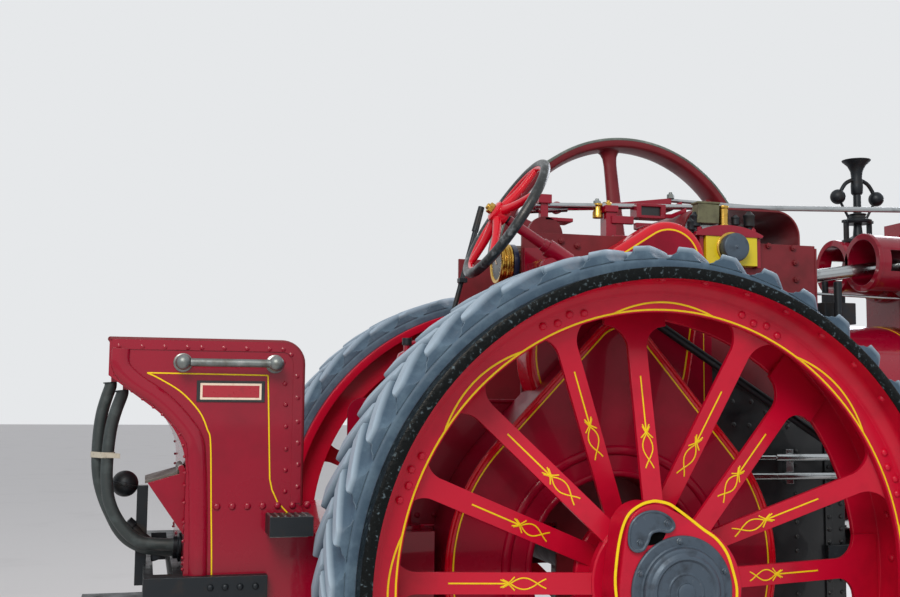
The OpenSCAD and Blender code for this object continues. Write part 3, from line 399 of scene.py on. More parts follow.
# %% [markdown]
# The wheels are brush painted in a bright crimson enamel that dust has dulled a little.
# The tender's enamel is deeper and polished like a mirror. Enamel has an IOR of about 1.5;
# the clear skin is a coat of its own, so that the highlights stay sharp over the colour, and
# the colour coat under it reflects little by itself, which keeps the reds deep.
# %% Paint finishes
# Brushed enamel: soft highlights, slight drifts of a deeper red.
wheel_enamel = finish("wheel_enamel", "#c60a30", "#aa0628", "#8a2028", marks_mm=260,
                      marks_from=0.5, relief_mm=0.3, grain_mm=7, rough=(0.3, 0.5),
                      edge_wear=0.33, **coat(0.3, 0.14, 0.22))
# Polished coach enamel: a deep colour with sharp reflections in the clear skin.
tender_enamel = finish("tender_enamel", "#930326", "#7c0420", "#5e1a20", marks_mm=400,
                       marks_from=0.5, relief_mm=0.12, grain_mm=8, rough=(0.22, 0.38),
                       edge_wear=0.33, **coat(0.6, 0.05, 0.2))
# The same enamel in the shade of the wheel: it shows almost no sky.
cover_enamel = finish("cover_enamel", "#960428", "#78041e", "#5e1a20", marks_mm=300,
                      marks_from=0.5, relief_mm=0.1, grain_mm=9, rough=(0.26, 0.4),
                      edge_wear=0.33, **coat(0.16, 0.04, 0.16))
# Signal red enamel of the picked-out edges: the brightest red, freshly polished.
band_enamel = finish("band_enamel", "#cc0420", "#b2041c", "#8a2028", marks_mm=160, relief_mm=0.1,
                     grain_mm=8, rough=(0.2, 0.35), edge_wear=0.33, **coat(0.5, 0.05, 0.2))
# Old oxide enamel on hot plate: browned, chalky, with dull spots.
brown_red_enamel = finish("brown_red_enamel", "#771a24", "#5c1319", "#8a5a50", marks_mm=180,
                          marks_from=0.5, relief_mm=0.4, grain_mm=6, rough=(0.35, 0.6),
                          edge_wear=0.34, **coat(0.2, 0.18, 0.3))
# Yellow enamel on a casting: oil darkens it in patches and at the edges.
bearing_enamel = finish("bearing_enamel", "#dcc812", "#b8981a", "#4a3a12", marks_mm=60,
                        marks_from=0.56, rough=(0.3, 0.55), edge_wear=0.36, **coat(0.3, 0.12))
# Signwriter's enamel: thin, even and opaque, under a little varnish.
lining_yellow = finish("lining_yellow", "#f8d612", "#e8bc0c", marks_mm=50, relief_mm=0.05,
                       rough=(0.3, 0.45), **coat(0.2, under=0.25))
# Painted border and field of a cast plate: satin, with rubbed patches.
plate_cream = finish("plate_cream", "#f0dcc8", "#d8b8a4", marks_mm=40, rough=(0.3, 0.5))
plate_red = finish("plate_red", "#a8142a", "#84121f", marks_mm=30, rough=(0.25, 0.4), **coat(0.4))
# Olive enamel on a tin box: matt, chipped through to a tan primer.
olive_enamel = finish("olive_enamel", "#66664a", "#4c4a36", "#86764c", marks_mm=40,
                      marks_from=0.48, relief_mm=0.4, rough=(0.35, 0.6), edge_wear=0.4)
print("enamels made:", len(bpy.data.materials))

# %% [markdown]
# The black work is oily: boiler black on the firebox and smokebox, bare forged iron at
# the hubs and frame, with brown dust in patches. Grease mixed with dirt is thrown from the
# rim's edge and dries black; pale specks on it are painted glints of the wet grease.
# %% Black, bare and rubbed metals
# Boiler black over rolled plate: oily, with paler dust in patches.
boiler_black = finish("boiler_black", "#12161a", "#22272a", "#3c4448", marks_mm=90,
                      marks_from=0.5, relief_mm=0.6, grain_mm=6, rough=(0.3, 0.6),
                      edge_wear=0.36, **coat(0.3))
# Forged iron: dark scale, brown dust and edges that rub to grey.
forged_iron = finish("forged_iron", "#262b30", "#3a332f", "#70777a", marks_mm=70, marks_from=0.52,
                     relief_mm=0.5, grain_mm=4, rough=(0.35, 0.6), edge_wear=0.38, Metallic=0.6)
# Cast iron, wiped with an oily rag: a grey sheen on the ridges.
cast_cap = finish("cast_cap", "#4e5c6a", "#3a424c", "#8a949a", marks_mm=45, marks_from=0.5,
                  relief_mm=0.5, grain_mm=3, rough=(0.35, 0.6), edge_wear=0.42, Metallic=0.5)
# Thrown grease: lumpy and nearly black, with pale specks painted as glints. Its relief is drawn
# coarse to show.
rim_grease = finish("rim_grease", "#030708", "#7d929c", marks_mm=15, marks_from=0.575,
                    relief_mm=4, grain_mm=14, rough=(0.2, 0.6), **{"Specular IOR Level": 0.16})
# Painted shade: a near-black that gives back no light, for a slot where shade falls.
oily_hollow = finish("oily_hollow", "#020303", "#0a0c0d", marks_mm=30, rough=(0.7, 0.9),
                     **{"Specular IOR Level": 0.05})
# Ground steel of rods and shafts: mirror bright, under a film of oil.
bright_steel = finish("bright_steel", "#b4b8ba", "#86898a", marks_mm=80, marks_from=0.52,
                      relief_mm=0.05, grain_mm=1.5, rough=(0.14, 0.3), Metallic=1.0)
# Steel that hands and boots rub: brown in the hollows, bright on the edges.
worn_steel = finish("worn_steel", "#7f8686", "#57544e", "#b4b6b6", marks_mm=60, marks_from=0.48,
                    relief_mm=0.4, rough=(0.3, 0.55), Metallic=0.8)
# The belt's track: turned steel with a green-grey film.
flywheel_steel = finish("flywheel_steel", "#6f7872", "#565a50", "#a8aca4", marks_mm=120,
                        marks_from=0.48, relief_mm=0.3, rough=(0.28, 0.5), Metallic=0.75)
# Polished brass: warm reflections, with tarnish where the cloth doesn't reach.
brass = finish("brass", "#c9a24e", "#8e682c", marks_mm=50, marks_from=0.55, relief_mm=0.1,
               rough=(0.14, 0.34), Metallic=1.0)
# Bare plate of a name board: dull grey-brown.
worn_plate = finish("worn_plate", "#5b5650", "#3e2c2a", "#8c8880", marks_mm=60, marks_from=0.48,
                    relief_mm=0.4, rough=(0.4, 0.65), edge_wear=0.4, Metallic=0.2)
# Moulded hose rubber with a cloth's faint grain: matt.
hose_rubber = finish("hose_rubber", "#2d3637", "#444f50", marks_mm=45, marks_from=0.5,
                     relief_mm=0.5, grain_mm=6, rough=(0.4, 0.65))
# The steering rim: black enamel that palms have polished.
grip_black = finish("grip_black", "#1c2022", "#4c5254", "#7c8488", marks_mm=35, marks_from=0.54,
                    relief_mm=0.2, rough=(0.22, 0.45), edge_mm=8, edge_wear=0.5)
# Stoved blue enamel on the gauge: glassy.
gauge_enamel = finish("gauge_enamel", "#1b2a4a", "#101830", marks_mm=50, rough=(0.25, 0.4),
                      **coat(0.5))
# Woven cotton webbing: quite matt, its weave drawn at 4 mm so that it shows.
webbing = finish("webbing", "#b9b4a4", "#8d887a", marks_mm=15, relief_mm=1, grain_mm=4,
                 rough=(0.7, 0.9))
print("finishes made:", len(bpy.data.materials))

# %% [markdown]
# The gauge's drum is lagged with narrow strips of varnished hardwood. The grain runs along
# the strips: noise that is stretched forty times along the drum gives dark and light
# streaks, 4 mm apart across them.
# %% Varnished wood
def opened(material):
    """A finish's node tree, its shader and the socket that says where a point is."""
    tree = material.node_tree
    where = next(n for n in tree.nodes if n.type == "TEX_COORD").outputs["Object"]
    return tree, tree.nodes["Principled BSDF"], where


def hardwood(name, pale, dark):
    material = finish(name, pale, dark, marks_mm=60, relief_mm=0.2, rough=(0.3, 0.5), **coat(0.3))
    tree, shader, where = opened(material)
    long_way = add(tree, "ShaderNodeMapping", {
        "Vector": where, "Scale": (6, 250, 250)}).outputs["Vector"]
    streaks = add(tree, "ShaderNodeTexNoise", {
        "Vector": long_way, "Scale": 1.0, "Detail": 4}).outputs["Fac"]
    shade = add(tree, "ShaderNodeMapRange", {
        "Value": streaks, "From Min": 0.35, "From Max": 0.65}).outputs["Result"]
    colour = add(tree, "ShaderNodeMix", {0: shade, 6: linear(pale), 7: linear(dark)},
                 data_type="RGBA").outputs[2]
    tree.links.new(colour, shader.inputs["Base Color"])
    return material


lagging_wood = hardwood("lagging_wood", "#6a4526", "#33200f")
print("wood:", lagging_wood.name)

# %% [markdown]
# The tyres are solid rubber, gone blue-grey with road dust. The lugs' tops and edges are
# paler, partly rubbed and partly a painted highlight, and the ground between them is painted
# darker as shade, so the colour follows the distance from the wheel's centre. That needs a
# material of its own for each axle height.
# %% Tyre rubber
def tyre_rubber(name, centre, base_mm, top_mm):
    """Rubber whose colour goes from the ground at base_mm to a lug's top at top_mm."""
    # The pale edges are partly rubbed and partly a painted highlight.
    material = finish(name, "#3e566a", "#566e80", "#93a8b6", marks_mm=60, marks_from=0.45,
                      relief_mm=0.9, grain_mm=7, rough=(0.5, 0.75), edge_mm=4, edge_wear=0.36)
    tree, shader, where = opened(material)
    flat = add(tree, "ShaderNodeVectorMath", {0: where, 1: (1, 0, 1)},
               operation="MULTIPLY").outputs["Vector"]
    reach = add(tree, "ShaderNodeVectorMath", {0: flat, 1: (centre[0], 0, centre[1])},
                operation="DISTANCE").outputs["Value"]
    # Paler towards a lug's top as wear and painted highlight; the ground stays darker as painted
    # shade.
    high = add(tree, "ShaderNodeMapRange", {
        "Value": reach, "From Min": base_mm / 1000, "From Max": top_mm / 1000,
        "To Max": 0.9}).outputs["Result"]
    colour = shader.inputs["Base Color"].links[0].from_socket
    pale = add(tree, "ShaderNodeMix", {0: high, 6: colour, 7: linear("#a2b6c6")},
               data_type="RGBA").outputs[2]
    tree.links.new(pale, shader.inputs["Base Color"])
    return material


FRONT_X, FRONT_Z = 3150, 670
rear_rubber = tyre_rubber("rear_rubber", (REAR_X, AXLE_Z / 1000), 1046, 1063)
front_centre = (FRONT_X / 1000 + REAR_X, FRONT_Z / 1000)
front_rubber = tyre_rubber("front_rubber", front_centre, 640, 669)
print("rubber for wheels of radius", AXLE_Z, "and", FRONT_Z)

# %% [markdown]
# Every CAD node keeps its shape and gets the finish of its slot in the record. A few have a
# finish of their own, because the real piece is bare or lies in another paint's area.
# %% Paint the CAD nodes
SLOT_FINISH = {
    "crimson_paint": tender_enamel, "wheel_paint": wheel_enamel,
    "brown_red_paint": brown_red_enamel, "black_paint": boiler_black, "black_iron": forged_iron,
    "yellow_paint": bearing_enamel, "brass": brass, "bright_steel": bright_steel,
    "worn_plate": worn_plate, "steering_wheel_paint": band_enamel, "tyre_rubber": front_rubber,
    "hose_rubber": hose_rubber,
}
OWN_FINISH = {"grab_handles": worn_steel, "steering_shaft": forged_iron,
              "drive_cover": cover_enamel, "trunk_guides": tender_enamel}
for row in frame["record"]["subparts"]:
    mesh = frame["nodes"][row["node"]].data
    for index in range(len(mesh.materials)):
        mesh.materials[index] = OWN_FINISH.get(row["node"], SLOT_FINISH[row["material_slot"]])

# %% [markdown]
# ## Rear wheels
# Each wheel is riveted up: a rolled rim, two flat rings inside it, and spokes whose
# trumpet feet are riveted to the rings. The spokes of the outer ring slope in to the hub's
# inner flange and those of the inner ring slope out, so that the wheel can't lean. Each
# spoke is a loft of flat sections, which lets its foot bend flat against the ring.
# %% Spokes
WEB_OUT, INNER_WEB_OUT, RIM_OUT, RIM_IN_R = 1014, 764, 1120, 956
near_spokes = [22.5 + 45 * k for k in range(8)]
far_spokes = [45 * k for k in range(8)]
hub_at = place(0, 0, AXLE_Z)
NEAR_OUT, NEAR_FALL, FAR_OUT, FAR_RISE = 757.5, 0.25, 771.5, tan(radians(12.8))
RING_R, BEND_FROM, BEND_LENGTH, BEND_OUT = 936, 820, 80, 13.5
SPOKE_HALF, SPOKE_THICK, FOOT_HALF, FOOT_CURVE = 34, 16, 112, 78


def near_front(r):
    """How far out a near spoke's face is: it falls in to the hub; its foot is bent flat."""
    bend = max(0, min(1, (r - BEND_FROM) / BEND_LENGTH))
    return NEAR_OUT + NEAR_FALL * r + BEND_OUT * bend * bend * (3 - 2 * bend)


def far_front(r):
    return FAR_OUT + FAR_RISE * (RING_R - r)


def spoke_at(angle, front):
    """Puts a distance from the axle, an offset and a lift on a spoke's face."""
    x, z = polar(1, angle)
    return lambda r, v, h=0: place(r * x - v * z, front(r) + h, r * z + v * x + AXLE_Z)


def spoke(angle, front, foot):
    """A flat bar that widens from `foot` outwards along a quarter of a circle."""
    put = spoke_at(angle, front)
    trumpet = list(range(foot, foot + FOOT_CURVE + 1, 6))
    rings = []
    for r in [140, 240, 340, 440, 540, 640, 700] + trumpet + [foot + 84, 900, RING_R]:
        half = SPOKE_HALF if r < foot else FOOT_HALF
        if foot <= r < foot + FOOT_CURVE:
            half -= sqrt(max(0, FOOT_CURVE ** 2 - (r - foot) ** 2))
        corners = ((-half, 0), (half, 0), (half, -SPOKE_THICK), (-half, -SPOKE_THICK))
        rings.append([put(r, v, h) for v, h in corners])
    return loft(rings)


wheel = [spoke(angle, near_front, 787) for angle in near_spokes]
wheel += [spoke(angle, far_front, 748) for angle in far_spokes]
print("spokes in a rear wheel:", len(wheel))

# %% [markdown]
# The rim, the rings, the hub and its flanges are rolled or turned, so each is a section
# taken round the axle. A fillet joins the outer ring to the rim, and the boss over the
# driving pin is a loft of belts round two circles, eased at its edge.
# %% Rim, rings and hub
fillet = [(912, -1014)] + [(912 + 44 * sin(t), -(1014 + 44 * (1 - cos(t))))
                           for t in (pi / 2 * k / 8 for k in range(1, 9))]
for section in ([(955, -651), (957, -650), (986, -650), (988, -652),
                 (988, -1118), (986, -1120), (957, -1120), (955, -1118)],
                [(855, -994), (855, -1011), (858, -1014), (958, -1014), (958, -994)],
                [(855, -746), (855, -761), (858, -764), (958, -764), (958, -746)],
                [(76, -655), (156, -655), (160, -660), (160, -1100), (76, -1100)],
                [(150, -905), (214, -905), (218, -910), (218, -938), (213, -943), (150, -943)],
                [(150, -770), (214, -770), (218, -775), (218, -796), (213, -800), (150, -800)],
                fillet + [(957, -1058), (957, -1010), (912, -1010)]):
    wheel.append(rolled(section, hub_at, LEFT, 144))


def boss_line(inset):
    return belt((0, 0), 205, (-87, 169), 95, inset, 60)


wheel.append(loft([[wheel_face(out)(u, v) for u, v in boss_line(inset)]
                   for inset, out in ((0, 990), (0, 1112), (1.5, 1116.5), (4, 1119), (8, 1120))]))
for made in pair("wheel_work", "rear_wheel", wheel_enamel, wheel, bevel=1.5, sharp=40):
    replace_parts(made, "rear_wheel_" + made.name.split("_")[-1])
print("solids in a rear wheel:", len(wheel))

# %% [markdown]
# Each spoke's foot has four rivets, and the rim has a row over each ring. Oil and road dirt
# creep over the rim's edge, so a thin black hoop of its own follows it.
# %% Rivets and greasy edge
rivets = []
for spokes, face in ((near_spokes, WEB_OUT), (far_spokes, INNER_WEB_OUT)):
    for angle in spokes:
        for turn, r in ((-4.6, 887), (-1.5, 898), (1.5, 887), (4.6, 898)):
            u, v = polar(r, angle + turn)
            rivets.append(rivet(place(u, face, v + AXLE_Z), RIGHT, 13, 9))
for k in range(40):
    u, v = polar(1, 9 * k + 2)
    reach = RIM_IN_R - 1
    for out in (WEB_OUT + 56, INNER_WEB_OUT + 66):
        rivets.append(rivet(place(u * reach, out, v * reach + AXLE_Z), (-u, 0, -v), 13, 10))
pair("rim_rivets", "rear_wheel", wheel_enamel, rivets)
# The hoop's pale specks are painted glints on the black grease.
edge_section = [(953, -1118), (953, -1121.5), (957, -1123), (985, -1123), (989.5, -1120),
                (989.5, -1052), (986, -1052), (986, -1118)]
pair("rim_edge", "rear_wheel", rim_grease, [rolled(edge_section, hub_at, LEFT, 180)])
print("rivets in a rear wheel:", len(rivets))

# %% [markdown]
# The sign painter's lining: a yellow line runs round the ring and parts into a leaf over
# each far spoke; every spoke has a line that ends in crossed strokes and a fish-shaped
# loop. They could be painted on as a mask, but thin strips half a millimetre off the enamel
# keep their edges sharp at any distance.
# %% Yellow lining of the wheels
LINE_W = 6
ring_face = wheel_face(WEB_OUT)
lines = [stripe(circle(0, 0, 863, 160), ring_face, LINE_W, closed=True)]
for angle in far_spokes:
    leaf = [polar(863 + 24 * cos(pi / 2 * t / 11.5) ** 0.9, angle + t)
            for t in (-11.5 + 23 * k / 24 for k in range(25))]
    lines.append(stripe(leaf, ring_face, LINE_W, 0.9))
STROKE_SHIFT = {112.5: 62}  # one spoke's strokes were drawn 62 mm further out


def spoke_lining(angle, front):
    """Strokes on one spoke; mirrored strokes lie a hair higher, so that crossings stay clean."""
    put = spoke_at(angle, front)
    ahead = STROKE_SHIFT.get(angle, 0)
    fish = [(490, -13), (477, -6), (465, 1), (449, 11), (431, 17), (413, 16), (397, 9), (384, 1),
            (370, -8), (356, -15)]
    cross = [(497, -12), (480, -4), (467, 6), (453, 21)]
    made = [stripe([(656 + ahead, 0), (560 + ahead, 0), (474 + ahead, 0)], put, LINE_W * 0.85, 0.5)]
    for line, lift in ((fish, 0.8), (cross, 1.4)):
        for side_way, more in ((1, 0), (-1, 0.3)):
            stroke = curve([(u + ahead, v * side_way) for u, v in line], 4)
            made.append(stripe(stroke, put, LINE_W * 0.7, lift + more))
    return made


for spoke_angle in near_spokes:
    lines += spoke_lining(spoke_angle, near_front)
for spoke_angle in far_spokes:
    lines += spoke_lining(spoke_angle, far_front)
boss = [(-217, 30), (-212, 100), (-202, 160), (-187, 208), (-166, 240), (-130, 262), (-100, 270),
        (-78, 271), (-40, 262), (-13, 246), (30, 216), (75, 183), (118, 154), (152, 112),
        (172, 60), (186, 0)]
boss += [(186 * cos(radians(-t)), 190 * sin(radians(-t))) for t in range(15, 180, 15)]
boss.append((-206, -40))
lines.append(stripe(curve(boss, 4, closed=True), wheel_face(RIM_OUT), 9, closed=True))
pair("wheel_lining", "rear_wheel", lining_yellow, lines)
print("strokes on a rear wheel:", len(lines))

# %% [markdown]
# The hub: a ringed iron cap over the axle's end, its bolted flange, and a kidney-shaped
# cover over the pin that drives the wheel. The cap is one turned profile; the cover is plate
# cut to a smooth outline, with a bead swept along it.
# %% Hub caps
CAP_TOP = 1159.5
cap_profile = [(20, -1120), (167, -1120), (167, -1126), (163, -1130), (137, -1130), (133, -1134),
               (133, -1141), (130, -1146), (124, -1149), (118, -1149), (113, -1152), (108, -1157),
               (100, -1158.5), (95, -1154), (93, -1151), (60, -1151), (58, -1153), (54, -1153),
               (52, -1151), (30, -1151), (28, -1157), (22, -CAP_TOP), (10, -CAP_TOP)]
cap = [turned(cap_profile, hub_at, LEFT, 96)]
for angle in (22, 94, 157, 202, 266, 338):
    u, v = polar(151, angle)
    cap += bolt(place(u, 1130, v + AXLE_Z), RIGHT, 9, 8)
kidney = curve([(-176, 150), (-168, 205), (-130, 236), (-84, 240), (-44, 222), (-28, 196),
                (-46, 180), (-78, 184), (-104, 176), (-116, 150), (-132, 128), (-158, 126)],
               5, closed=True)
cap.append(plate(kidney, wheel_face(RIM_OUT), 0, 11))
cap.append(stripe(kidney, wheel_face(RIM_OUT + 10), 9, closed=True, round_top=4))
for u, v in ((-141, 150), (-52, 206)):
    cap += bolt(place(u, RIM_OUT + 11, v + AXLE_Z), RIGHT, 10, 9)
for made in pair("hub_cap_detail", "rear_wheel", cast_cap, cap, bevel=1):
    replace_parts(made, "hub_cap_" + made.name.split("_")[-1])
# A near-black plate in the slot beside the cover is painted shade.
slot_line = curve([(-112, 140), (-104, 172), (-78, 181), (-52, 176), (-70, 150)], 4, closed=True)
pair("pin_slot", "rear_wheel", oily_hollow, [plate(slot_line, wheel_face(RIM_OUT), 0, 1.5)])
print("cap stands", round(CAP_TOP - RIM_OUT), "mm out of the boss")

# %% [markdown]
# The tyre: a band with rounded shoulders and two rows of slanting lugs that meet at the
# middle. A lug is a loft of sections across the tread, each one with hollow flanks; one
# function sets it at every pitch round the band, so that all of them are alike.
# %% Rear tyres
BASE_R, TREAD_NEAR, TREAD_MID, LUGS, LUG_H = 1025, 1050, 870, 43, 42
LEAD, HALF_FOOT = 9, 3.35
FLANK = [(1, -0.05), (0.9, 0.01), (0.75, 0.1), (0.62, 0.3), (0.53, 0.6), (0.46, 0.9), (0.41, 1.0)]


def lug(angle, near, far):
    """One lug from the tyre's edge to its middle; its worn top starts as half an oval."""
    rings = []
    for k in range(19):
        t = k / 18
        t = t * t * (3 - 2 * t) * 0.5 + t * 0.5
        oval = sqrt(max(0.0, 1 - (1 - min(1, t / 0.16)) ** 2))
        tall = 0.8 + 0.2 * oval if t < 0.94 else 0.9
        middle = angle - LEAD * t
        section = [(share, height) if height < 0.5 else
                   (share * (0.45 + 0.55 * oval) + 0.05 * (1 - oval), height)
                   for share, height in FLANK]
        section = [(-share, height) for share, height in section] + section[::-1]
        rings.append([])
        for share, height in section:
            r = BASE_R + LUG_H * (height if height < 0.5 else height * tall)
            u, v = polar(r, middle + share * HALF_FOOT)
            rings[-1].append(place(u, near + (far - near) * t, v + AXLE_Z))
    return loft(rings)


band = [(988.5, -1049), (1010, -1051), (1019, -1049), (1025, -1042), (1025.5, -700),
        (1019, -691), (1010, -689), (988.5, -691)]
tyre = [rolled(band, hub_at, LEFT, 172)]
pitch = 360 / LUGS
for k in range(LUGS):
    tyre.append(lug(-90 + pitch * (k + 0.15), TREAD_NEAR - 0.5, TREAD_MID - 8))
    tyre.append(lug(-90 + pitch * (k + 0.65), 2 * TREAD_MID - TREAD_NEAR + 0.5, TREAD_MID + 8))
for made in pair("tread", "rear_wheel", rear_rubber, tyre, sharp=42):
    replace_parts(made, "rear_tyre_" + made.name.split("_")[-1])
print("lugs on a tyre:", 2 * LUGS)

# %% [markdown]
# ## Tender
# The tender is a riveted plate box. A half-round bead is pressed along its flared back
# edge, and rivets follow its borders. The small ones are set out by walking along a curve
# and dropping one each 34 mm, as they are marked out on the real plate.
# %% Rivets and beads of the tender
side = face_at(600)
ridge = [(-1666, 1789), (-1662, 1731), (-1619, 1685), (-1540, 1631), (-1475, 1567), (-1431, 1503),
         (-1421, 1430), (-1415, 1326), (-1410, 1092), (-1410, 640)]
tender_rivets = [(x, 1796) for x in (-1671, -1600, -1531, -1460, -1416, -1345, -1273, -1201, -1156)]
tender_rivets += [(-1130, 1779), (-1110, 1709), (-1107, 1639), (-1105, 1561), (-1103, 1493),
                  (-1101, 1423), (-1101, 1352), (-1156, 1754), (-1149, 1685), (-1145, 1617),
                  (-1143, 1546), (-1141, 1474), (-1141, 1406), (-1141, 1338)]
edge_line = curve([(-1697, 1742), (-1680, 1700), (-1632, 1656), (-1565, 1606), (-1513, 1560),
                   (-1478, 1512), (-1466, 1458), (-1462, 1400), (-1461, 1100)], 6)
SMALL_STEP = 34
small = []
walked, last = 0, edge_line[0]
for p in edge_line:
    walked += (p - last).length
    last = p
    if walked > SMALL_STEP:
        small.append((p.x + 4, p.y))
        walked = 0
big = [(x, 1293) for x in range(-1404, -1020, 48)] + [(x, 640) for x in range(-1430, -660, 64)]
heads = rivet_row(side, tender_rivets, 8, 5)
heads += rivet_row(side, small, 5, 3.5)
heads += rivet_row(side, big, 12, 8)
frame_bolts = rivet_row(face_at(640), [(x, 1047) for x in (-1372, -1326, -1280, -1232)], 11, 8)
both_sides("frame_bolts", forged_iron, frame_bolts)
back_rivets = [(out, z) for out in (40, 240, 575) for z in range(660, 1180, 65)]
back_rivets += [(out, 1230) for out in range(20, 600, 70)]
heads += [rivet(place(-1455, out, z), BACK, 8, 5) for out, z in back_rivets]
heads.append(stripe(curve(ridge, 6), side, 58, round_top=15))
border = [(-1692, 1803), (-1160, 1803)] + arc(-1160, 1750, 53, 88, 2, 8) + [(-1107, 1300)]
heads.append(stripe(border, side, 32, 2.6))
both_sides("tender_rivets", tender_enamel, heads)
rail_line = [(-1698, 1819), (-1160, 1819)] + arc(-1160, 1750, 69, 85, 0, 8) + [(-1091, 1292)]
rail = tube([place(x, 594, z) for x, z in rail_line], 8)
across_back = tube([place(-1698, out, 1819) for out in (594, 0, -594)], 8)
piece("edge_rail", "engine", brown_red_enamel, [rail, across_back] + mirrored([rail]), sharp=60)
print("rivets and beads on a tender side:", len(heads))

# %% [markdown]
# The tender's lining is one fine yellow frame, drawn as four strokes that overlap at the
# corners as a brush leaves them. The bare plate has a black frame, a cream border and a red
# field, each a little higher than the one round it.
# %% Lining and plate of the tender
FINE_LINE = 4.6
top_line = [(-1583, 1714), (-1450, 1713), (-1204, 1711)]
front_line = [(-1204, 1711), (-1198, 1560), (-1191, 1378), (-1183, 1344), (-1165, 1305),
              (-1122, 1259)]
back_line = curve([(-1583, 1714), (-1541, 1694), (-1475, 1653), (-1418, 1592), (-1392, 1536),
                   (-1381, 1492), (-1374, 1300), (-1367, 1082), (-1362, 700)], 6)
low_line = [(-1362, 700), (-760, 700), (-760, 1150)]
yellow = [stripe(line, side, FINE_LINE, lift) for line, lift in (
    (top_line, 0.6), (front_line, 0.8), (back_line, 1), (low_line, 0.8))]
both_sides("tender_lining", lining_yellow, yellow)
plate_at = [(-1429, 1624), (-1214, 1624), (-1214, 1692), (-1429, 1692)]
inner_at = [(-1418, 1631), (-1224, 1631), (-1224, 1684), (-1418, 1684)]
field_at = [(-1411, 1638), (-1231, 1638), (-1231, 1677), (-1411, 1677)]
for name, outline, paint, low, high in (("plate_frame", plate_at, boiler_black, 0, 4),
                                        ("plate_border", inner_at, plate_cream, 0, 5),
                                        ("plate_field", field_at, plate_red, 0, 5.6)):
    both_sides(name, paint, [plate(outline, side, low, high)], bevel=0.8)
print("strokes on a tender side:", len(yellow))

# %% [markdown]
# ## Hoses
# Two runs of suction hose hang behind the tender. They start in pads on its flared edge and
# go into its back plate, so their lengths are fixed. A tube swept along a smooth curve gives
# the drape, and a strap of woven webbing ties the two runs together.
# %% Hoses, strap and coupling
HOSE_R = 20
outer_route = [(-1700, 1686), (-1700, 1670), (-1711, 1634), (-1723, 1586), (-1730, 1532),
               (-1733, 1470), (-1732, 1410), (-1724, 1354), (-1708, 1302), (-1686, 1252),
               (-1658, 1200), (-1625, 1164), (-1580, 1140), (-1520, 1128), (-1456, 1126)]
inner_route = [(-1661, 1660), (-1661, 1644), (-1678, 1592), (-1691, 1538), (-1698, 1476),
               (-1701, 1410), (-1699, 1352), (-1690, 1298), (-1668, 1246), (-1632, 1196),
               (-1590, 1164), (-1535, 1154), (-1456, 1152)]
runs = [curve([place(x, out, z) for x, z in route], 8)
        for out, route in ((345, outer_route), (395, inner_route))]
hose_tubes = [tube(path, HOSE_R, 28) for path in runs]
hoses = piece("hose_runs", "engine", hose_rubber, hose_tubes, sharp=60)
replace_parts(hoses, "suction_hose")
ends = [tube(path[:3], HOSE_R + 4, 20) for path in runs]
ends += [turned([(38, 0), (38, 8), (27, 12), (27, 26)], place(-1456, out, z), BACK, 28)
         for out, z in ((345, 1126), (395, 1152))]
piece("hose_ferrules", "engine", forged_iron, ends, bevel=1)


def strap_line(gap):
    """The strap's way round both hoses, seen from above, at a gap from the rubber."""
    return belt((-1732.5, 345), HOSE_R + gap, (-1699.5, 395), HOSE_R + gap - 0.1, steps=24)


strap = [[place(*a, z) for z in (1437, 1456)] + [place(*b, z) for z in (1456, 1437)]
         for a, b in zip(strap_line(0.5), strap_line(3))]
tail = plate([(-1716, 1440), (-1660, 1436), (-1660, 1452), (-1716, 1456)], face_at(417), 0, 3)
piece("hose_strap", "engine", webbing, [loft(strap, closed=True), tail])
nozzle_bends = ((-1634, 1219), (-1590, 1180), (-1541, 1138), (-1508, 1105))
nozzle_way = curve([place(x, 318, z) for x, z in nozzle_bends], 6)
bell = [(15, 0), (21, -4), (30, -28), (30, -36)]
nozzle = [tube(nozzle_way, [17] * 6 + [15] * (len(nozzle_way) - 6), 24),
          tube(nozzle_way[:4], 23, 24), turned(bell, place(-1535, 318, 1132), (-0.4, 0, 1), 28)]
piece("hose_nozzle", "engine", forged_iron, nozzle, bevel=1)
ball_at = place(-1643, 304, 1346)
seam = [rolled([(45.5, -4), (46.5, 0), (45.5, 4), (42, 0)], ball_at, (0.25, 0, 1), 48)]
seam += bolt(ball_at + Vector((0, -0.043, 0)), RIGHT, 8, 8)
piece("strainer_seam", "engine", forged_iron, seam)
hose_lengths = [sum((b - a).length for a, b in zip(path, path[1:])) for path in runs]
print("hose lengths:", [round(length, 3) for length in hose_lengths], "m")


# %% [markdown]
# ## Covers of the gearing
# The right side has two pressed covers: a low one over the gears of the last drive, with a
# raised lip round its opening, and a high case with softly rounded edges. The rounding is a
# row of outlines, each one moved in a little more, as a plate is when its edge is dressed.
# %% Drive cover and gear case
AXLE, SECOND, CASE_TOP = (0, AXLE_Z), (20, 1800), (250, 2150)
COVER_OUT, CASE_OUT, CASE_EDGE = 635, 555, 22
cover_face, case_face = face_at(COVER_OUT), face_at(CASE_OUT)


def cover_line(inset):
    return belt(AXLE, 615, SECOND, 125, inset, 96)


def case_line(inset):
    return belt(SECOND, 320, CASE_TOP, 148, inset)


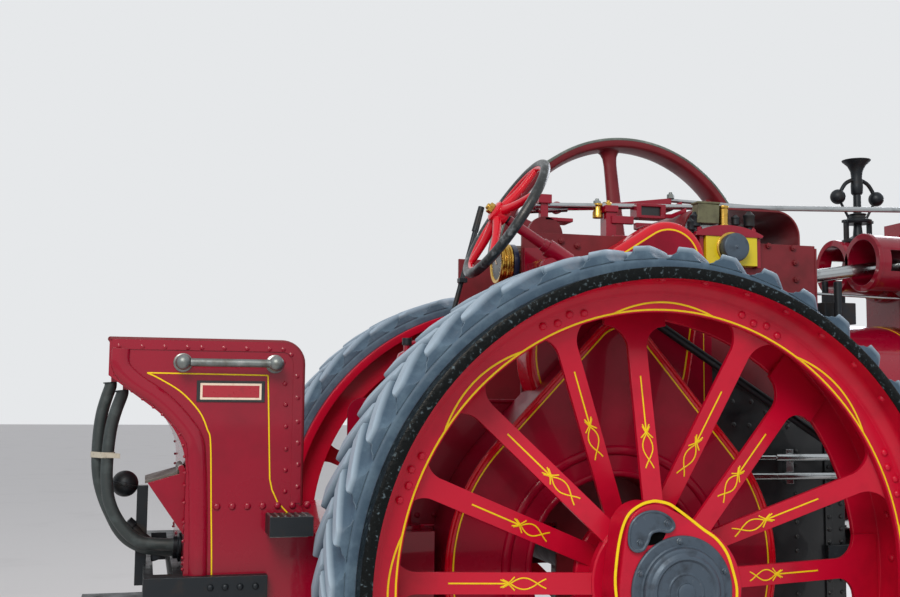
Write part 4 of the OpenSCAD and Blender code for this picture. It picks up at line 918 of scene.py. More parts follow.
cover_trim = [stripe(cover_line(8), cover_face, 15, closed=True, round_top=7),
              stripe(cover_line(20), cover_face, 12, 0.7, closed=True)]
piece("cover_edge", "engine", band_enamel, cover_trim, sharp=50)
lip = [stripe(circle(0, AXLE_Z, r), cover_face, width, closed=True, round_top=high)
       for r, width, high in ((402, 34, 11), (322, 24, 8))]
piece("cover_lip", "engine", cover_enamel, lip, sharp=50)
case_rings = [(0, 434)] + [(CASE_EDGE * (1 - cos(t)), CASE_OUT - CASE_EDGE * (1 - sin(t)))
                           for t in (pi / 2 * k / 6 for k in range(7))]
case = loft([[face_at(out)(u, v) for u, v in case_line(inset)] for inset, out in case_rings])
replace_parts(piece("gear_case_shell", "engine", band_enamel, [case], sharp=50), "gear_case")
piece("cover_lining", "engine", lining_yellow, [
    stripe(cover_line(30), cover_face, 5.5, closed=True),
    stripe(case_line(32), case_face, 6, 0.25, closed=True)])
piece("case_field", "engine", cover_enamel, [plate(case_line(37), case_face, -0.5, 0.2)])
print("gear case outline has", len(case_line(0)), "points")


# %% [markdown]
# The hornplates carry the crankshaft. They are brown-red plate, bolted to the firebox, with
# a lined panel. Behind them a low sheet with a beaded edge closes each side of the
# footplate. All of it is plate work, so it is outlines with a thickness.
# %% Hornplates and footplate sheets
horn = face_at(434)
horn_work = []
for x, z in ((-66, 2207), (-129, 2222), (725, 2242), (833, 2238), (842, 2180), (845, 2114),
             (741, 2137), (-225, 2050), (-225, 1900), (-225, 1750), (885, 2060), (885, 1960),
             (885, 1860), (885, 1760)):
    horn_work += bolt(horn(x, z), RIGHT, 12, 10)
horn_work.append(stripe([(934, 2240), (934, 1625)], horn, 9, round_top=4))
both_sides("hornplate_bolts", brown_red_enamel, horn_work)
panel = [(130, 1500), (478, 1500), (478, 1950), (130, 1950)]
both_sides("side_panel", cover_enamel, [plate(panel, horn, 0, 4)], bevel=1)
panel_line = [(136, 1535), (443, 1535), (443, 1915), (136, 1915)]
both_sides("panel_lining", lining_yellow, [stripe(panel_line, face_at(438), FINE_LINE)])
sheet = [(-284, 1204), (-284, 1640)] + arc(-700, 1580, 60, 90, 180, 8) + [(-760, 1204)]
sheets = [plate(sheet, face_at(422), 0, 7)]
sheet_edge = [(-284, 1634)] + arc(-700, 1580, 54, 90, 180, 8) + [(-754, 1204)]
sheets.append(stripe(sheet_edge, face_at(429), 14, round_top=6))
sheets += rivet_row(face_at(429), [(x, 1236) for x in range(-720, -290, 60)])
sheets += rivet_row(face_at(429), [(-306, z) for z in range(1290, 1630, 60)])
both_sides("footplate_sheets", cover_enamel, sheets)
print("bolts and beads on a hornplate:", len(horn_work))

# %% [markdown]
# Below the hornplate a black riveted lap follows the slope of the plate's edge. It is plate
# with a raised strip, and a thin paler strip of bare iron along its upper edge is a painted
# highlight of that edge.
# %% Firebox laps
lap = [(478, 1788), (584, 1723), (729, 1637), (811, 1579), (858, 1574), (478, 1346)]
lap_slope = [(482, 1778), (584, 1715), (729, 1629), (811, 1571)]
lap_plates = [plate(lap, horn, 0, 4.5), stripe(lap_slope, face_at(438), 30, 7)]
lap_plates.append(stripe([(858, 1566), (1046, 1462)], face_at(421), 34, 9))
lap_plates += [plate([(960, 640), (990, 640), (990, 1480), (960, 1500)], face_at(420), 0, 8),
               plate([(160, 632), (1046, 632), (1046, 690), (160, 690)], face_at(420), 0, 10)]
lap_heads = [(565, 1553), (630, 1550), (687, 1557), (793, 1546), (520, 1500), (560, 1640),
             (640, 1640), (700, 1600)]
lap_plates += rivet_row(face_at(438), lap_heads)
fire_heads = [(839, z) for z in range(750, 1480, 54)] + [(975, z) for z in range(720, 1460, 48)]
fire_heads += [(1032, z) for z in range(720, 1440, 48)] + [(x, 661) for x in range(190, 1040, 52)]
for x, z in fire_heads:
    lap_plates += rivet_row(face_at(428 if z < 690 or x == 975 else 420), [(x, z)])
both_sides("firebox_lap", boiler_black, lap_plates)
# The paler strip along the lap's upper edge is a painted highlight.
edge_shine = [stripe([(480, 1796), (584, 1732), (729, 1646), (812, 1588)], face_at(438), 5, 8)]
both_sides("lap_edge", forged_iron, edge_shine)
print("firebox rivets on a side:", len(fire_heads) + len(lap_heads))


# %% [markdown]
# ## Crankshaft bearings
# Each bearing is a yellow block with a hole for the shaft, held down by an arched crimson
# cap. The round iron cap on the shaft's end turns with it; a brass collar lies behind it. The
# cap's arch is cut as one outline, since a bevel on it then eases every edge alike.
# %% Bearings
CRANK = (545, 2220)
block_line = [(439, 2155), (655, 2155), (655, 2277), (439, 2277)]
blocks = [holed(block_line, *CRANK, 43, face_at(0), 434, 474)]
bearing_blocks = both_sides("bearing_blocks", bearing_enamel, blocks, bevel=2)
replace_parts(bearing_blocks, "crank_bearings")
arch_line = arc(533, 1982, 326, 114, 63, 20) + [(676, 2264), (394, 2264)]
caps = [plate(arch_line, face_at(0), 426, 478),
        plate([(660, 2150), (676, 2150), (676, 2266), (660, 2266)], face_at(0), 434, 462),
        plate([(419, 2150), (435, 2150), (435, 2266), (419, 2266)], face_at(0), 434, 462)]
for x in (420, 650):
    caps += bolt(place(x, 452, 2286), UP, 13, 14)
both_sides("bearing_caps", tender_enamel, caps, bevel=2)
crank_at = place(CRANK[0], 0, CRANK[1])
collar = [rolled([(44, 473), (62, 473), (62, 478), (58, 480), (44, 480)], crank_at, RIGHT, 64)]
both_sides("bearing_collars", brass, collar)
end_cap = [turned([(20, 482), (50, 482), (54, 485), (54, 512), (51, 517), (46, 519), (20, 519),
                   (7, 519), (5, 523), (2, 523)], crank_at, RIGHT, 64)]
piece("crank_cap", "crank", cast_cap, end_cap)
cups = []
for x, foot, high, r in ((408, 2280, 76, 20), (578, 2300, 53, 15), (636, 2290, 78, 21),
                         (390, 2270, 60, 14)):
    cup = [(r * 0.5, -6), (r * 0.5, high * 0.2), (r, high * 0.28), (r, high * 0.7),
           (r * 1.1, high * 0.74), (r * 1.1, high * 0.82), (r * 0.75, high * 0.88), (r * 0.4, high)]
    cups.append(turned(cup, place(x, 448, foot), UP, 28))
both_sides("oil_cups", forged_iron, cups)
pot = [(21, -4), (21, 6), (18, 10), (18, 66), (21, 70), (21, 78), (8, 82)]
pots = [turned(pot, place(522, 456, 2305), UP, 32)]
both_sides("oil_pots", brass, pots)
box_line = [(404, 2312), (494, 2312), (497, 2384), (409, 2388)]
box = [plate(box_line, face_at(0), 424, 474), block(452, 449, 2390, 96, 56, 8)]
piece("oil_box", "engine", olive_enamel, box, bevel=2)
print("oil cups:", len(cups))


# %% [markdown]
# ## Reversing gear and rods
# Polished rods run along the engine's top, from the footplate to the front. A rod is a
# tube between two points; the longest one is a plain straight bar.
# %% Rods
def bar_between(start, end, r, sides=16):
    return tube([place(*start), place(*end)], r, sides)


rods = [bar_between((-203, 300, 2374), (1880, 300, 2460), 11),
        bar_between((-203, 255, 2360), (-40, 262, 2374), 12),
        turned([(17, -10), (17, 10)], place(-195, 300, 2374), AHEAD, 24),
        bar_between((402, 255, 2432), (860, 255, 2424), 8)]
rod_piece = piece("long_rods", "engine", bright_steel, rods, sharp=50)
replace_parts(rod_piece, "reach_rods")
print("rods:", len(rods) - 1)

# %% [markdown]
# The red levers and the forked block are forged, so each is a plate or a block whose bevel
# eases its edges. The posts stand on the hornplate's inside.
# %% Levers, fork and hand lever
lever_line = [(-91, 2366), (-91, 2388), (180, 2411), (402, 2441), (402, 2417), (250, 2394),
              (180, 2384)]
red_work = [plate(lever_line, face_at(0), 247, 263)]
for x, z, length, high in ((231, 2372, 20, 56), (334, 2372, 20, 56), (283, 2395, 86, 11),
                           (283, 2349, 86, 11)):
    red_work.append(block(x, 300, z, length, 64, high))
red_work += [plate([(340, 2381), (362, 2374), (392, 2386), (436, 2412), (436, 2426), (385, 2402),
                    (340, 2398)], face_at(0), 274, 288),
             plate([(340, 2348), (376, 2350), (436, 2378), (436, 2394), (372, 2366),
                    (340, 2364)], face_at(0), 310, 324)]
red_work += [block(283, 340, 2308, 150, 26, 24), block(283, 376, 2297, 150, 88, 8),
             block(116, 300, 2300, 42, 60, 120), block(116, 345, 2244, 60, 148, 26),
             block(116, 300, 2372, 54, 74, 26),
             block(160, 330, 2330, 90, 20, 30), block(1880, 300, 2356, 28, 24, 252),
             turned([(26, 0), (26, 39)], place(1880, 260.5, 2240), RIGHT, 32)]
red_work += [turned([(24, -9), (24, 9)], place(-80, 255, 2377), RIGHT, 28),
             block(-150, 300, 2398, 52, 52, 34), block(-150, 300, 2340, 30, 30, 110),
             block(-118, 330, 2312, 120, 90, 14),
             block(-160, 372, 2306, 50, 94, 12)]
piece("reversing_gear", "engine", tender_enamel, red_work, bevel=2)
# A black plate fills the fork's opening as painted shade.
fork_line = (arc(249, 2362, 8, 180, 270, 4) + arc(317, 2362, 8, 270, 360, 4)
             + arc(317, 2382, 8, 0, 90, 4) + arc(249, 2382, 8, 90, 180, 4))
piece("fork_hole", "engine", boiler_black, [plate(fork_line, face_at(0), 280, 320)])
nuts = []
for x, out, z in ((116, 300, 2385), (116, 262, 2385), (70, 300, 2390), (402, 255, 2441)):
    nuts += bolt(place(x, out, z), UP, 15, 16)
knob = turned([(20, 0), (20, 22), (16, 30), (16, 44), (19, 48), (19, 56)],
              place(72, 300, 2338), UP, 24)
piece("gear_nuts", "engine", brass, nuts[:3] + [knob], bevel=0.6)
piece("gear_nuts_steel", "engine", worn_steel, nuts[3:], bevel=0.6)
house = [(-252, 2240)] + arc(-184, 2246, 68, 180, 0, 20) + [(-116, 2240)]
piece("curved_guard", "engine", brown_red_enamel, [plate(house, face_at(0), 396, 419)], bevel=2)
hand_lever = [tube([place(-700, 300, 1206), place(-483, 300, 2026), place(-420, 300, 2262)], 9, 14),
              tube([place(-420, 300, 2262), place(-395, 300, 2356)], [13, 12], 16),
              turned([(30, 0), (30, 20), (16, 26)], place(-700, 300, 1200), UP, 24),
              tube([place(-468, 322, 2080), place(-400, 322, 2330)], 4, 10),
              block(-470, 310, 2076, 30, 34, 16)]
piece("hand_lever", "engine", forged_iron, hand_lever, sharp=50)
print("red pieces of the reversing gear:", len(red_work))


# %% [markdown]
# ## Pressure gauge
# The gauge is a brass drum with a dial towards the footplate, then a blue enamelled ring and
# wooden lagging. A turned profile gives the brass its beads. Each strip of wood is a loft of
# its own, so that the gaps between the strips are real and lie in shadow.
# %% Pressure gauge
GAUGE = place(-346, 330, 2139)
drum = [turned([(10, 4), (58, 4), (60, 0), (70, -2), (75, 2), (76, 8), (70, 12), (70, 16),
                (76, 20), (77, 26), (71, 30), (71, 34), (77, 38), (77, 44), (70, 48), (10, 48)],
               GAUGE, AHEAD, 64)]
drum.append(turned([(74, 150), (76, 152), (76, 160), (74, 162), (60, 162)], GAUGE, AHEAD, 64))
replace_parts(piece("gauge_drum", "engine", brass, drum, sharp=30), "pressure_gauge")
ring = turned([(60, 48), (74, 48), (76, 50), (76, 66), (74, 68), (60, 68)], GAUGE, AHEAD, 64)
piece("gauge_ring", "engine", gauge_enamel, [ring])
SLATS = 22
slats = []
for k in range(SLATS):
    a, b = radians(k * 360 / SLATS + 0.7), radians((k + 1) * 360 / SLATS - 0.7)
    section = [(cos(turn) * r, sin(turn) * r)
               for turn, r in ((a, 60), (a, 71), ((a + b) / 2, 73), (b, 71), (b, 60))]
    slats.append(loft([[GAUGE + Vector((x / 1000, u / 1000, v / 1000)) for u, v in section]
                       for x in (68, 151)]))
piece("gauge_lagging", "engine", lagging_wood, slats, sharp=25)
face = turned([(4, 3.4), (57, 3.4), (57, 2.6), (4, 2.6)], GAUGE, AHEAD, 64)
piece("gauge_face", "engine", boiler_black, [face])
marks = []
for k in range(13):
    a = radians(-45 + k * 22.5)
    ends = [GAUGE + Vector((0.0022, cos(a) * r, sin(a) * r)) for r in (0.044, 0.053)]
    marks.append(tube(ends, 1.2, 6))
pointer = [GAUGE + Vector((0.0015, 0, 0)), GAUGE + Vector((0.0015, 0.03, 0.032))]
marks.append(tube(pointer, [2.4, 0.8], 8))
cock = [tube([place(-296, 330, 2068), place(-296, 330, 1996), place(-292, 336, 1980)], 7, 14),
        turned([(13, 0), (13, 20)], place(-296, 330, 2042), UP, 20),
        bar_between((-300, 330, 2030), (-232, 372, 2030), 6), block(-222, 390, 2139, 66, 58, 70)]
piece("gauge_marks", "engine", plate_cream, marks)
piece("gauge_cock", "engine", forged_iron, cock, sharp=40)
print("slats on the drum:", len(slats))

# %% [markdown]
# ## Steering wheel
# The wheel has a dark rim, a red inner ring and bright red spokes, held by a brass nut on a
# sloping shaft. Every point is given as a radius, a turn and a distance along the shaft, and
# a tube swept through such points bends and tapers as the forged spokes do.
# %% Steering wheel and column
SLOPE = radians(31.6)
shaft_way = Vector((cos(SLOPE), 0, -sin(SLOPE)))


def on_shaft(x):
    """The point of the shaft's middle line that is x forward of the rear axle."""
    return place(x, 600, 2143 - (x + 196) * sin(SLOPE) / cos(SLOPE))


wheel_at = on_shaft(-422)
turn_way = Vector(LEFT)
up_way = shaft_way.cross(turn_way)


def around(r, angle, along):
    a = radians(angle)
    outwards = (turn_way * cos(a) + up_way * sin(a)) * (r / 1000)
    return wheel_at + outwards + shaft_way * (along / 1000)


rim = [tube([around(228, 5 * k, 30) for k in range(72)], 17, 18, closed=True)]
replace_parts(piece("steering_rim", "steering_wheel", grip_black, rim, sharp=60), "steering_wheel")
red = [tube([around(212, 5 * k, 30) for k in range(72)], 10, 12, closed=True)]
way = [(30, 2), (60, 10), (110, 20), (160, 26), (206, 30)]
for k in range(5):
    spoke_line = curve([around(r, 72 * k + 18, along) for r, along in way], 4)
    red.append(tube(spoke_line, [17 - 6 * i / 16 for i in range(17)], 16))
hub = [(16.2, -26), (30, -26), (38, -20), (39, 20), (34, 30), (16.2, 32)]
red.append(rolled(hub, wheel_at, shaft_way, 40))
piece("steering_spokes", "steering_wheel", band_enamel, red, sharp=50)
nut = [turned([(17, -44), (20, -42), (20, -27)], wheel_at, shaft_way, 6),
       turned([(9, -52), (11, -50), (11, -44)], wheel_at, shaft_way, 20)]
piece("steering_nut", "steering_wheel", brass, nut, bevel=1)
column = [tube([on_shaft(-388), on_shaft(-246)], 18.5, 28),
          tube([on_shaft(-262), on_shaft(-245)], 23, 28),
          tube([on_shaft(-168), on_shaft(-152)], 23, 28)]
column += [turned([(29, -32), (31, -30), (31, 28), (28, 32)], place(-241, 600, 2103), RIGHT, 32)]
column += bolt(place(-241, 632, 2103), RIGHT, 15, 13)
piece("steering_column", "engine", tender_enamel, column, sharp=45)
print("steering wheel's centre:", [round(c, 3) for c in wheel_at])


# %% [markdown]
# ## Flywheel
# A cast flywheel has a channelled rim, a worn steel band where the belt runs, and straight
# spokes that swell into the rim. Each spoke is a loft of ovals that taper and then flare.
# %% Flywheel
FLY_MID, FLY_R = 550, 640
rim_section = [(594, -600), (600, -616), (606, -619.5), (633, -619.5), (633, -480.5),
               (606, -480.5), (600, -484), (594, -500), (588, -526), (585, -550), (588, -574)]
castings = [rolled([(r, -h) for r, h in rim_section], crank_at, LEFT, 144)]
nave = [(43, 482), (88, 482), (95, 488), (95, 612), (88, 618), (43, 618)]
castings.append(rolled(nave, crank_at, LEFT, 64))
spoke_ovals = ((84, 50, 34), (120, 42, 30), (200, 39, 27), (320, 36, 25), (440, 33, 23),
               (520, 32, 23), (555, 35, 24), (575, 44, 28), (588, 60, 36), (596, 78, 44))
for k in range(6):
    along = Vector((cos(radians(60 * k + 96)), 0, sin(radians(60 * k + 96))))
    flat = Vector((-along.z, 0, along.x))
    rings = []
    for r, wide, thick in spoke_ovals:
        middle = crank_at + along * (r / 1000) + Vector((0, FLY_MID / 1000, 0))
        rings.append([middle + flat * (wide * cos(a) / 1000) + Vector((0, thick * sin(a) / 1000, 0))
                      for a in full_turn(24)])
    castings.append(loft(rings))
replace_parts(piece("flywheel_casting", "crank", brown_red_enamel, castings, sharp=45), "flywheel")
band_section = [(628, 479.6), (637, 479.6), (FLY_R, 483), (FLY_R, 617), (637, 620.4),
                (628, 620.4)]
piece("flywheel_band", "crank", flywheel_steel, [rolled(band_section, crank_at, LEFT, 144)])
print("flywheel is", 2 * FLY_R, "mm across")


# %% [markdown]
# ## Governor, guides and cylinders
# The governor stands in view at the front: a trumpet on a spindle, two balls on bent arms
# and a sliding collar. Turned profiles give the smooth trumpet that a lathe would.
# %% Governor
GOV_X, GOV_OUT, CYL_Z = 1512, -110, 2240
BASE_Z = CYL_Z + 119
gov_at = place(GOV_X, GOV_OUT, 0)


def on_base(x, high):
    return place(GOV_X + x, GOV_OUT, BASE_Z + high)


gov = [turned([(r, BASE_Z + z) for r, z in profile], gov_at, UP, sides) for profile, sides in (
    ([(70, 1), (70, 14), (44, 22), (22, 34), (18, 80), (17, 230)], 40),
    ([(58, 88), (62, 94), (62, 104), (40, 112), (34, 124), (40, 132), (20, 138)], 40),
    ([(20, 222), (26, 230), (27, 262), (24, 300), (27, 330), (40, 356), (62, 376), (64, 381),
      (58, 382), (30, 368)], 48))]
round_ball = [(34 * sin(pi * k / 14) + 0.01, -34 * cos(pi * k / 14)) for k in range(15)]
for s in (-1, 1):
    ball = on_base(s * 100, 208)
    gov.append(turned(round_ball, ball, UP, 32))
    gov.append(tube(curve([on_base(s * 24, 290), on_base(s * 62, 268), ball], 5), 9, 12))
    gov.append(tube([ball, on_base(s * 40, 104)], 6, 12))
    gov.append(turned([(13, -8), (13, 8)], on_base(s * 40, 104), LEFT, 20))
gov += [block(GOV_X + s * 60, GOV_OUT, BASE_Z + 48, 16, 20, 96) for s in (-1, 1)]
gov.append(block(GOV_X, GOV_OUT, BASE_Z + 98, 150, 24, 12))
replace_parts(piece("governor_work", "engine", forged_iron, gov, sharp=40), "governor")
print("governor's top at", BASE_Z + 382)

# %% [markdown]
# The guides and the cylinders are castings that bolt together at flanges. A flange or a
# brass hoop is a section rolled round the cylinder's middle line, and its bolts are set out
# by angle, as holes are on a dividing table. Pipes are tubes along their own bends.
# %% Guides, cylinders, valves and pipes
CYLINDERS = (110, -110)
flanges = []
for out in CYLINDERS:
    at = place(0, out, CYL_Z)
    flanges.append(rolled([(99.5, 1372), (124, 1372), (126, 1376), (126, 1392), (119, 1396),
                           (99.5, 1396)], at, AHEAD, 64))
    flanges.append(rolled([(119, 1596), (146, 1600), (148, 1604), (148, 1620), (119, 1620)],
                          at, AHEAD, 64))
    flanges.append(turned([(20, 2240), (140, 2240), (140, 2256), (134, 2262), (60, 2264),
                           (40, 2272), (20, 2272)], at, AHEAD, 64))
    for k in range(10):
        u, v = polar(134, 36 * k + 18)
        flanges += bolt(place(1599, out + u, CYL_Z + v), BACK, 9, 8)
        u, v = polar(124, 36 * k)
        flanges += bolt(place(2262, out + u, CYL_Z + v), AHEAD, 10, 8)
chest_bolts = [(x, z) for x in range(1700, 2170, 76) for z in (2372, 2430)]
for x, z in chest_bolts:
    flanges += bolt(place(x, 150, z), RIGHT, 9, 8) + bolt(place(x, -150, z), LEFT, 9, 8)
piece("cylinder_flanges", "engine", tender_enamel, flanges, bevel=0.8)
hoops = [rolled([(149, x), (153, x), (153, x + 26), (149, x + 26)], place(0, out, CYL_Z), AHEAD, 72)
         for out in CYLINDERS for x in (1660, 1900, 2170)]
piece("cylinder_hoops", "engine", brass, hoops)
saddle = [(1690, 1900), (2170, 1900), (2170, 2120), (1690, 2120)]
both_sides("saddle_lining", lining_yellow, [stripe(saddle, face_at(240), 6, closed=True)])
PIPES = ((1430, 10), (1360, 14.6))
thin_bends = ((872, 2095), (1000, 2098), (1300, 2094), (1500, 2090), (1640, 2090))
thin = tube(curve([place(x, 120, z) for x, z in thin_bends], 4), 6, 12)
motion = [bar_between((1180, 215, 1968), (1180, 215, 2140), 17),
          bar_between((1290, -40, 1970), (1290, -40, 2170), 14),
          block(1215, 150, 2012, 150, 60, 90), block(1290, 20, 2052, 60, 90, 110)]
piece("valve_motion", "engine", forged_iron, motion, bevel=3)
pipe_ends = [bar_between((560, 456, z), (742, 456, z), r) for z, r in PIPES]
piece("thin_pipe", "engine", bright_steel, [thin] + pipe_ends)
print("bolts on the valve chest:", 2 * len(chest_bolts))


# %% [markdown]
# ## Boiler
# Polished bands hold the boiler's cladding, each between two painted lines. Bands and lines
# are thin hoops, a millimetre or two proud of the sheet, so that their edges catch light.
# %% Boiler lining
BOILER_Z, BANDS = 1550, (1090, 1510, 2300, 2650)
boiler_at = place(0, 0, BOILER_Z)
loops = [rolled([(419.5, edge), (420.8, edge), (420.8, edge + 5), (419.5, edge + 5)],
                boiler_at, AHEAD, 120) for x in BANDS for edge in (x - 16, x + 57)]
piece("boiler_lining", "engine", lining_yellow, loops)
bands = [rolled([(422, x), (424.4, x), (424.4, x + 45), (422, x + 45)], boiler_at, AHEAD, 120)
         for x in BANDS]
piece("boiler_bands", "engine", brass, bands)
print("lines round the boiler:", len(loops))

# %% [markdown]
# ## Smokebox and chimney
# The smokebox is rolled plate, riveted round its ends, and its door is shut by a crossed
# pair of handles on one screw. An array modifier could set the rivets round; a loop that
# places each one by its angle keeps them one piece with the rings and bolts.
# %% Smokebox and chimney
studs = []
for x in (2778, 3448):
    for k in range(48):
        u, v = polar(440, 7.5 * k)
        studs.append(rivet(place(x, u, BOILER_Z + v), (0, -u, v), 9, 6))
for k in range(30):
    u, v = polar(408, 12 * k + 6)
    studs.append(rivet(place(3480, u, BOILER_Z + v), AHEAD, 9, 6))
door_ring = [(352, 3480), (372, 3480), (372, 3486), (366, 3490), (352, 3490)]
studs.append(rolled(door_ring, boiler_at, AHEAD, 96))
for k in range(12):
    u, v = polar(168, 30 * k)
    studs += bolt(place(FRONT_X + u, v, 2050 if abs(v) < 90 else 2036), UP, 10, 9)
chimney_at = place(FRONT_X, 0, 0)
for section in ([(136, 2112), (150, 2112), (150, 2124), (136, 2130)],
                [(129, 2600), (134, 2602), (134, 2622), (129, 2624)]):
    studs.append(rolled(section, chimney_at, UP, 64))
piece("smokebox_rivets", "engine", boiler_black, studs)
cap_rings = [rolled(section, chimney_at, UP, 72) for section in (
    [(190, 3286), (198, 3288), (200, 3293), (198, 3299), (190, 3299.5)],
    [(126, 3092), (137, 3094), (140, 3101), (137, 3108), (128, 3110)])]
piece("chimney_rings", "engine", brass, cap_rings, sharp=50)
door = [rolled([(312, 3502), (330, 3502), (333, 3506), (330, 3510), (312, 3510)],
               boiler_at, AHEAD, 96)]
for z in (1420, 1680):
    door.append(block(3526, -130, z, 14, 420, 40))
    for out in (-300, -230, -20, 50):
        door.append(rivet(place(3533, out, z), AHEAD, 9, 6))
piece("door_straps", "smokebox_door", boiler_black, door, bevel=1.5)
handles = [turned([(30, 3526), (30, 3548), (24, 3552), (24, 3574), (15, 3580)],
                  boiler_at, AHEAD, 32)]
for x, turn in ((3560, 40), (3570, 130)):
    u, v = polar(150, turn)
    tip = place(x + 6, u, BOILER_Z + v)
    handles.append(tube([place(x, 0, BOILER_Z), tip], [11, 9], 16))
    handles.append(turned([(12, -10), (14, 0), (12, 10)], tip, (0, -u, v), 20))
piece("door_handles", "smokebox_door", bright_steel, handles)
print("solids on the smokebox:", len(studs))


# %% [markdown]
# ## Front wheels
# The front wheels follow the rear ones: rivets at the spokes' feet, a yellow line on every
# other spoke and round the ring, and an iron cap. Their plain rubber has rounded shoulders.
# %% Front wheels
FRONT_Y = 850
front_at = place(FRONT_X, 0, FRONT_Z)
front_section = [(636.3, -745), (660, -745), (666, -748), (669, -755), (670, -768), (670, -932),
                 (669, -945), (666, -952), (660, -955), (636.3, -955)]
front_tyre = [rolled(front_section, front_at, LEFT, 144)]
for made in pair("front_rubber", "front_wheel", front_rubber, front_tyre, sharp=60):
    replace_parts(made, "front_tyre_" + made.name.split("_")[-1])
front_heads, front_lines = [], []
for k in range(12):
    face = FRONT_Y + (19.5 if k % 2 == 0 else 7)
    for turn, r in ((-1.4, 586), (1.4, 600)):
        u, v = polar(r, 30 * k + turn)
        front_heads.append(rivet(place(FRONT_X + u, face, FRONT_Z + v), RIGHT, 8, 6))
    if k % 2 == 0:
        way = [polar(r, 30 * k) for r in (190, 300, 420, 520)]
        front_lines.append(stripe([(FRONT_X + u, FRONT_Z + v) for u, v in way], face_at(face), 5))
front_ring = circle(FRONT_X, FRONT_Z, 581)
front_lines.append(stripe(front_ring, face_at(FRONT_Y + 7), 5, closed=True))
front_heads.append(rolled([(76, 986), (92, 989), (92, 990.2), (76, 990.2)], front_at, RIGHT, 64))
pair("front_rivets", "front_wheel", wheel_enamel, front_heads)
pair("front_lining", "front_wheel", lining_yellow, front_lines)
front_cap = [turned([(20, 990), (84, 990), (84, 1000), (74, 1004), (74, 1021), (66, 1026),
                     (40, 1027), (20, 1030)], front_at, RIGHT, 64)]
for k in range(6):
    u, v = polar(79, 60 * k)
    front_cap += bolt(place(FRONT_X + u, 1000, FRONT_Z + v), RIGHT, 7, 6)
pair("front_hub_cap", "front_wheel", cast_cap, front_cap)
print("rivets on a front wheel:", len(front_heads) - 1)


# %% [markdown]
# ## Fittings of the footplate and frame
# The last small pieces: the brake's round head and cranked handle, ends for the grab rail,
# bolts of the perch bracket and a chequered step. The step's tread could be a bump in its
# finish; six round-topped ribs catch the light at its edge as well.
# %% Footplate and frame fittings
brake_at = place(-720, 500, 1786)
dome = [(10, -70), (30, -66), (36, -40), (36, -10), (30, 8), (16, 16), (4, 18)]
piece("brake_head", "engine", tender_enamel, [turned(dome, brake_at, UP, 36)], sharp=50)
brake_crank = [turned(profile, at, UP, 28) for profile, at in (
    ([(17, -12), (17, 12)], place(-720, 500, 1836)),
    ([(13, -14), (17, -6), (17, 6), (13, 14)], place(-600, 500, 1834)),
    ([(9, 0), (14, 8), (15, 30), (13, 52), (8, 66)], place(-600, 500, 1838)))]
piece("brake_crank", "engine", forged_iron, brake_crank, sharp=50)
feet = [turned([(30, 0), (30, 5), (16, 10), (14, 24)], place(x, 600, 1748), RIGHT, 28)
        for x in (-1474, -1183)]
both_sides("grab_rail_feet", worn_steel, feet, sharp=50)


def step_top(u, v, h=0):
    return place(u, 600 + v, 1270 + h)


step = [stripe([(x, 12), (x, 123)], step_top, 8, round_top=3) for x in range(-1196, -1080, 22)]
step.append(block(-1134, 668, 1206, 120, 20, 10))
both_sides("step_ribs", worn_steel, step)
perch = []
for x in (3050, 3250):
    for z in (900, 990, 1080):
        perch += bolt(place(x, 190, z), RIGHT, 13, 11)
both_sides("perch_bolts", boiler_black, perch, bevel=0.6)

# %% [markdown]
# ## Floor and light
# A pale floor, a soft pale sky and two large soft lamps, level enough that paint shows
# the colour it was mixed to.
# %% Floor and light
floor_paper = finish("floor_paper", "#dcdad6", "#d6d4d0", marks_mm=900, rough=(0.8, 0.9),
                     relief_mm=0.01)
floor_mesh = bpy.data.meshes.new("floor")
floor_mesh.from_pydata([(-60, -60, 0), (60, -60, 0), (60, 60, 0), (-60, 60, 0)], [], [(0, 1, 2, 3)])
floor_mesh.materials.append(floor_paper)
floor = bpy.data.objects.new("floor", floor_mesh)
bpy.context.scene.collection.objects.link(floor)

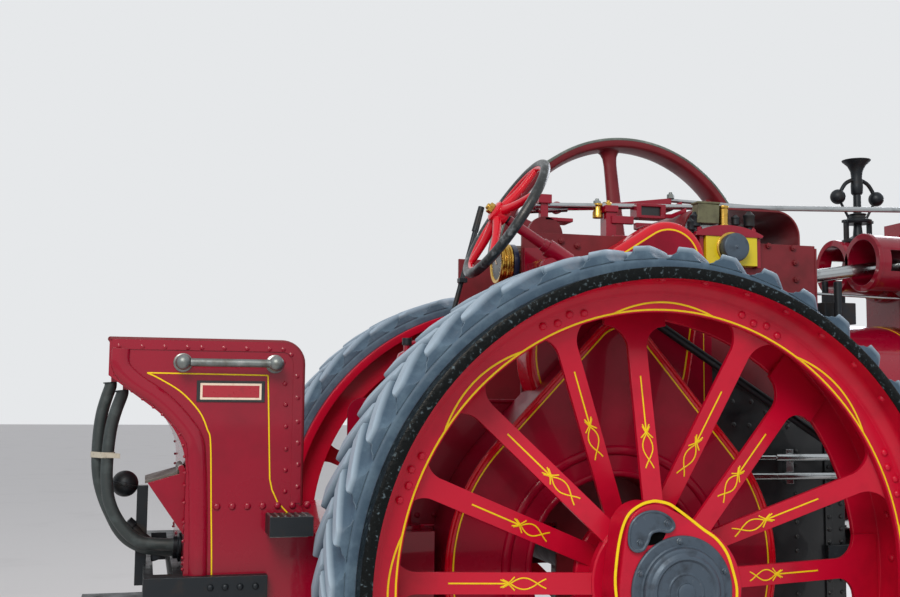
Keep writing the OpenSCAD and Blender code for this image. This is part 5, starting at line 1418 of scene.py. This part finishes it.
world = bpy.data.worlds.new("soft_sky")
bpy.context.scene.world = world
world.use_nodes = True
sky = world.node_tree
sky.nodes.clear()
ray = add(sky, "ShaderNodeLightPath").outputs
seen = ray["Is Camera Ray"]
for other in ("Is Glossy Ray", "Is Transmission Ray"):
    seen = add(sky, "ShaderNodeMath", {0: seen, 1: ray[other]}, operation="MAXIMUM").outputs[0]
light = add(sky, "ShaderNodeBackground", {"Color": linear("#f4f6ff"), "Strength": 0.62}).outputs[0]
shown = add(sky, "ShaderNodeBackground", {"Color": linear("#e6e8ea"), "Strength": 1}).outputs[0]
mixed = add(sky, "ShaderNodeMixShader", {0: seen, 1: light, 2: shown}).outputs[0]
add(sky, "ShaderNodeOutputWorld", {"Surface": mixed})


def lamp(name, where, aim, size, watts, colour="#ffffff"):
    data = bpy.data.lights.new(name, "AREA")
    data.shape, data.size, data.energy, data.color = "SQUARE", size, watts, linear(colour)[:3]
    obj = bpy.data.objects.new(name, data)
    obj.location = where
    obj.rotation_euler = (Vector(aim) - Vector(where)).to_track_quat("-Z", "Y").to_euler()
    bpy.context.scene.collection.objects.link(obj)


lamp("key_lamp", (-4.5, -6.5, 6.5), (0, 0, 1.3), 3.5, 420, "#fff6ea")
lamp("fill_lamp", (6, 5, 5), (0, 0, 1.3), 4, 260, "#f0f4ff")
print("lamps:", len(bpy.data.lights))

# %% [markdown]
# The camera's place, turn and lens were solved from the rear wheel's outline and the
# tender's edges in the photograph, so that a render can be laid over it.
# %% Camera
YAW, PITCH, ROLL = radians(15.13), radians(5.05), 0.0094
look = Vector((sin(YAW) * cos(PITCH), cos(YAW) * cos(PITCH), sin(PITCH)))
across = look.cross(Vector(UP)).normalized()
upward = across.cross(look)
right_hand = across * cos(ROLL) + upward * sin(ROLL)
upward = upward * cos(ROLL) - across * sin(ROLL)
camera_data = bpy.data.cameras.new("photo_camera")
camera_data.sensor_width, camera_data.lens = 36, 44.83
camera_data.clip_start, camera_data.clip_end = 0.05, 200
camera = bpy.data.objects.new("photo_camera", camera_data)
turn = Matrix((right_hand, upward, -look)).transposed().to_4x4()
camera.matrix_world = Matrix.Translation((-2.6055, -4.273, 1.645)) @ turn
bpy.context.scene.collection.objects.link(camera)
bpy.context.scene.camera = camera
bpy.context.scene.view_settings.view_transform = "Standard"
print("camera looks along", [round(c, 3) for c in look])
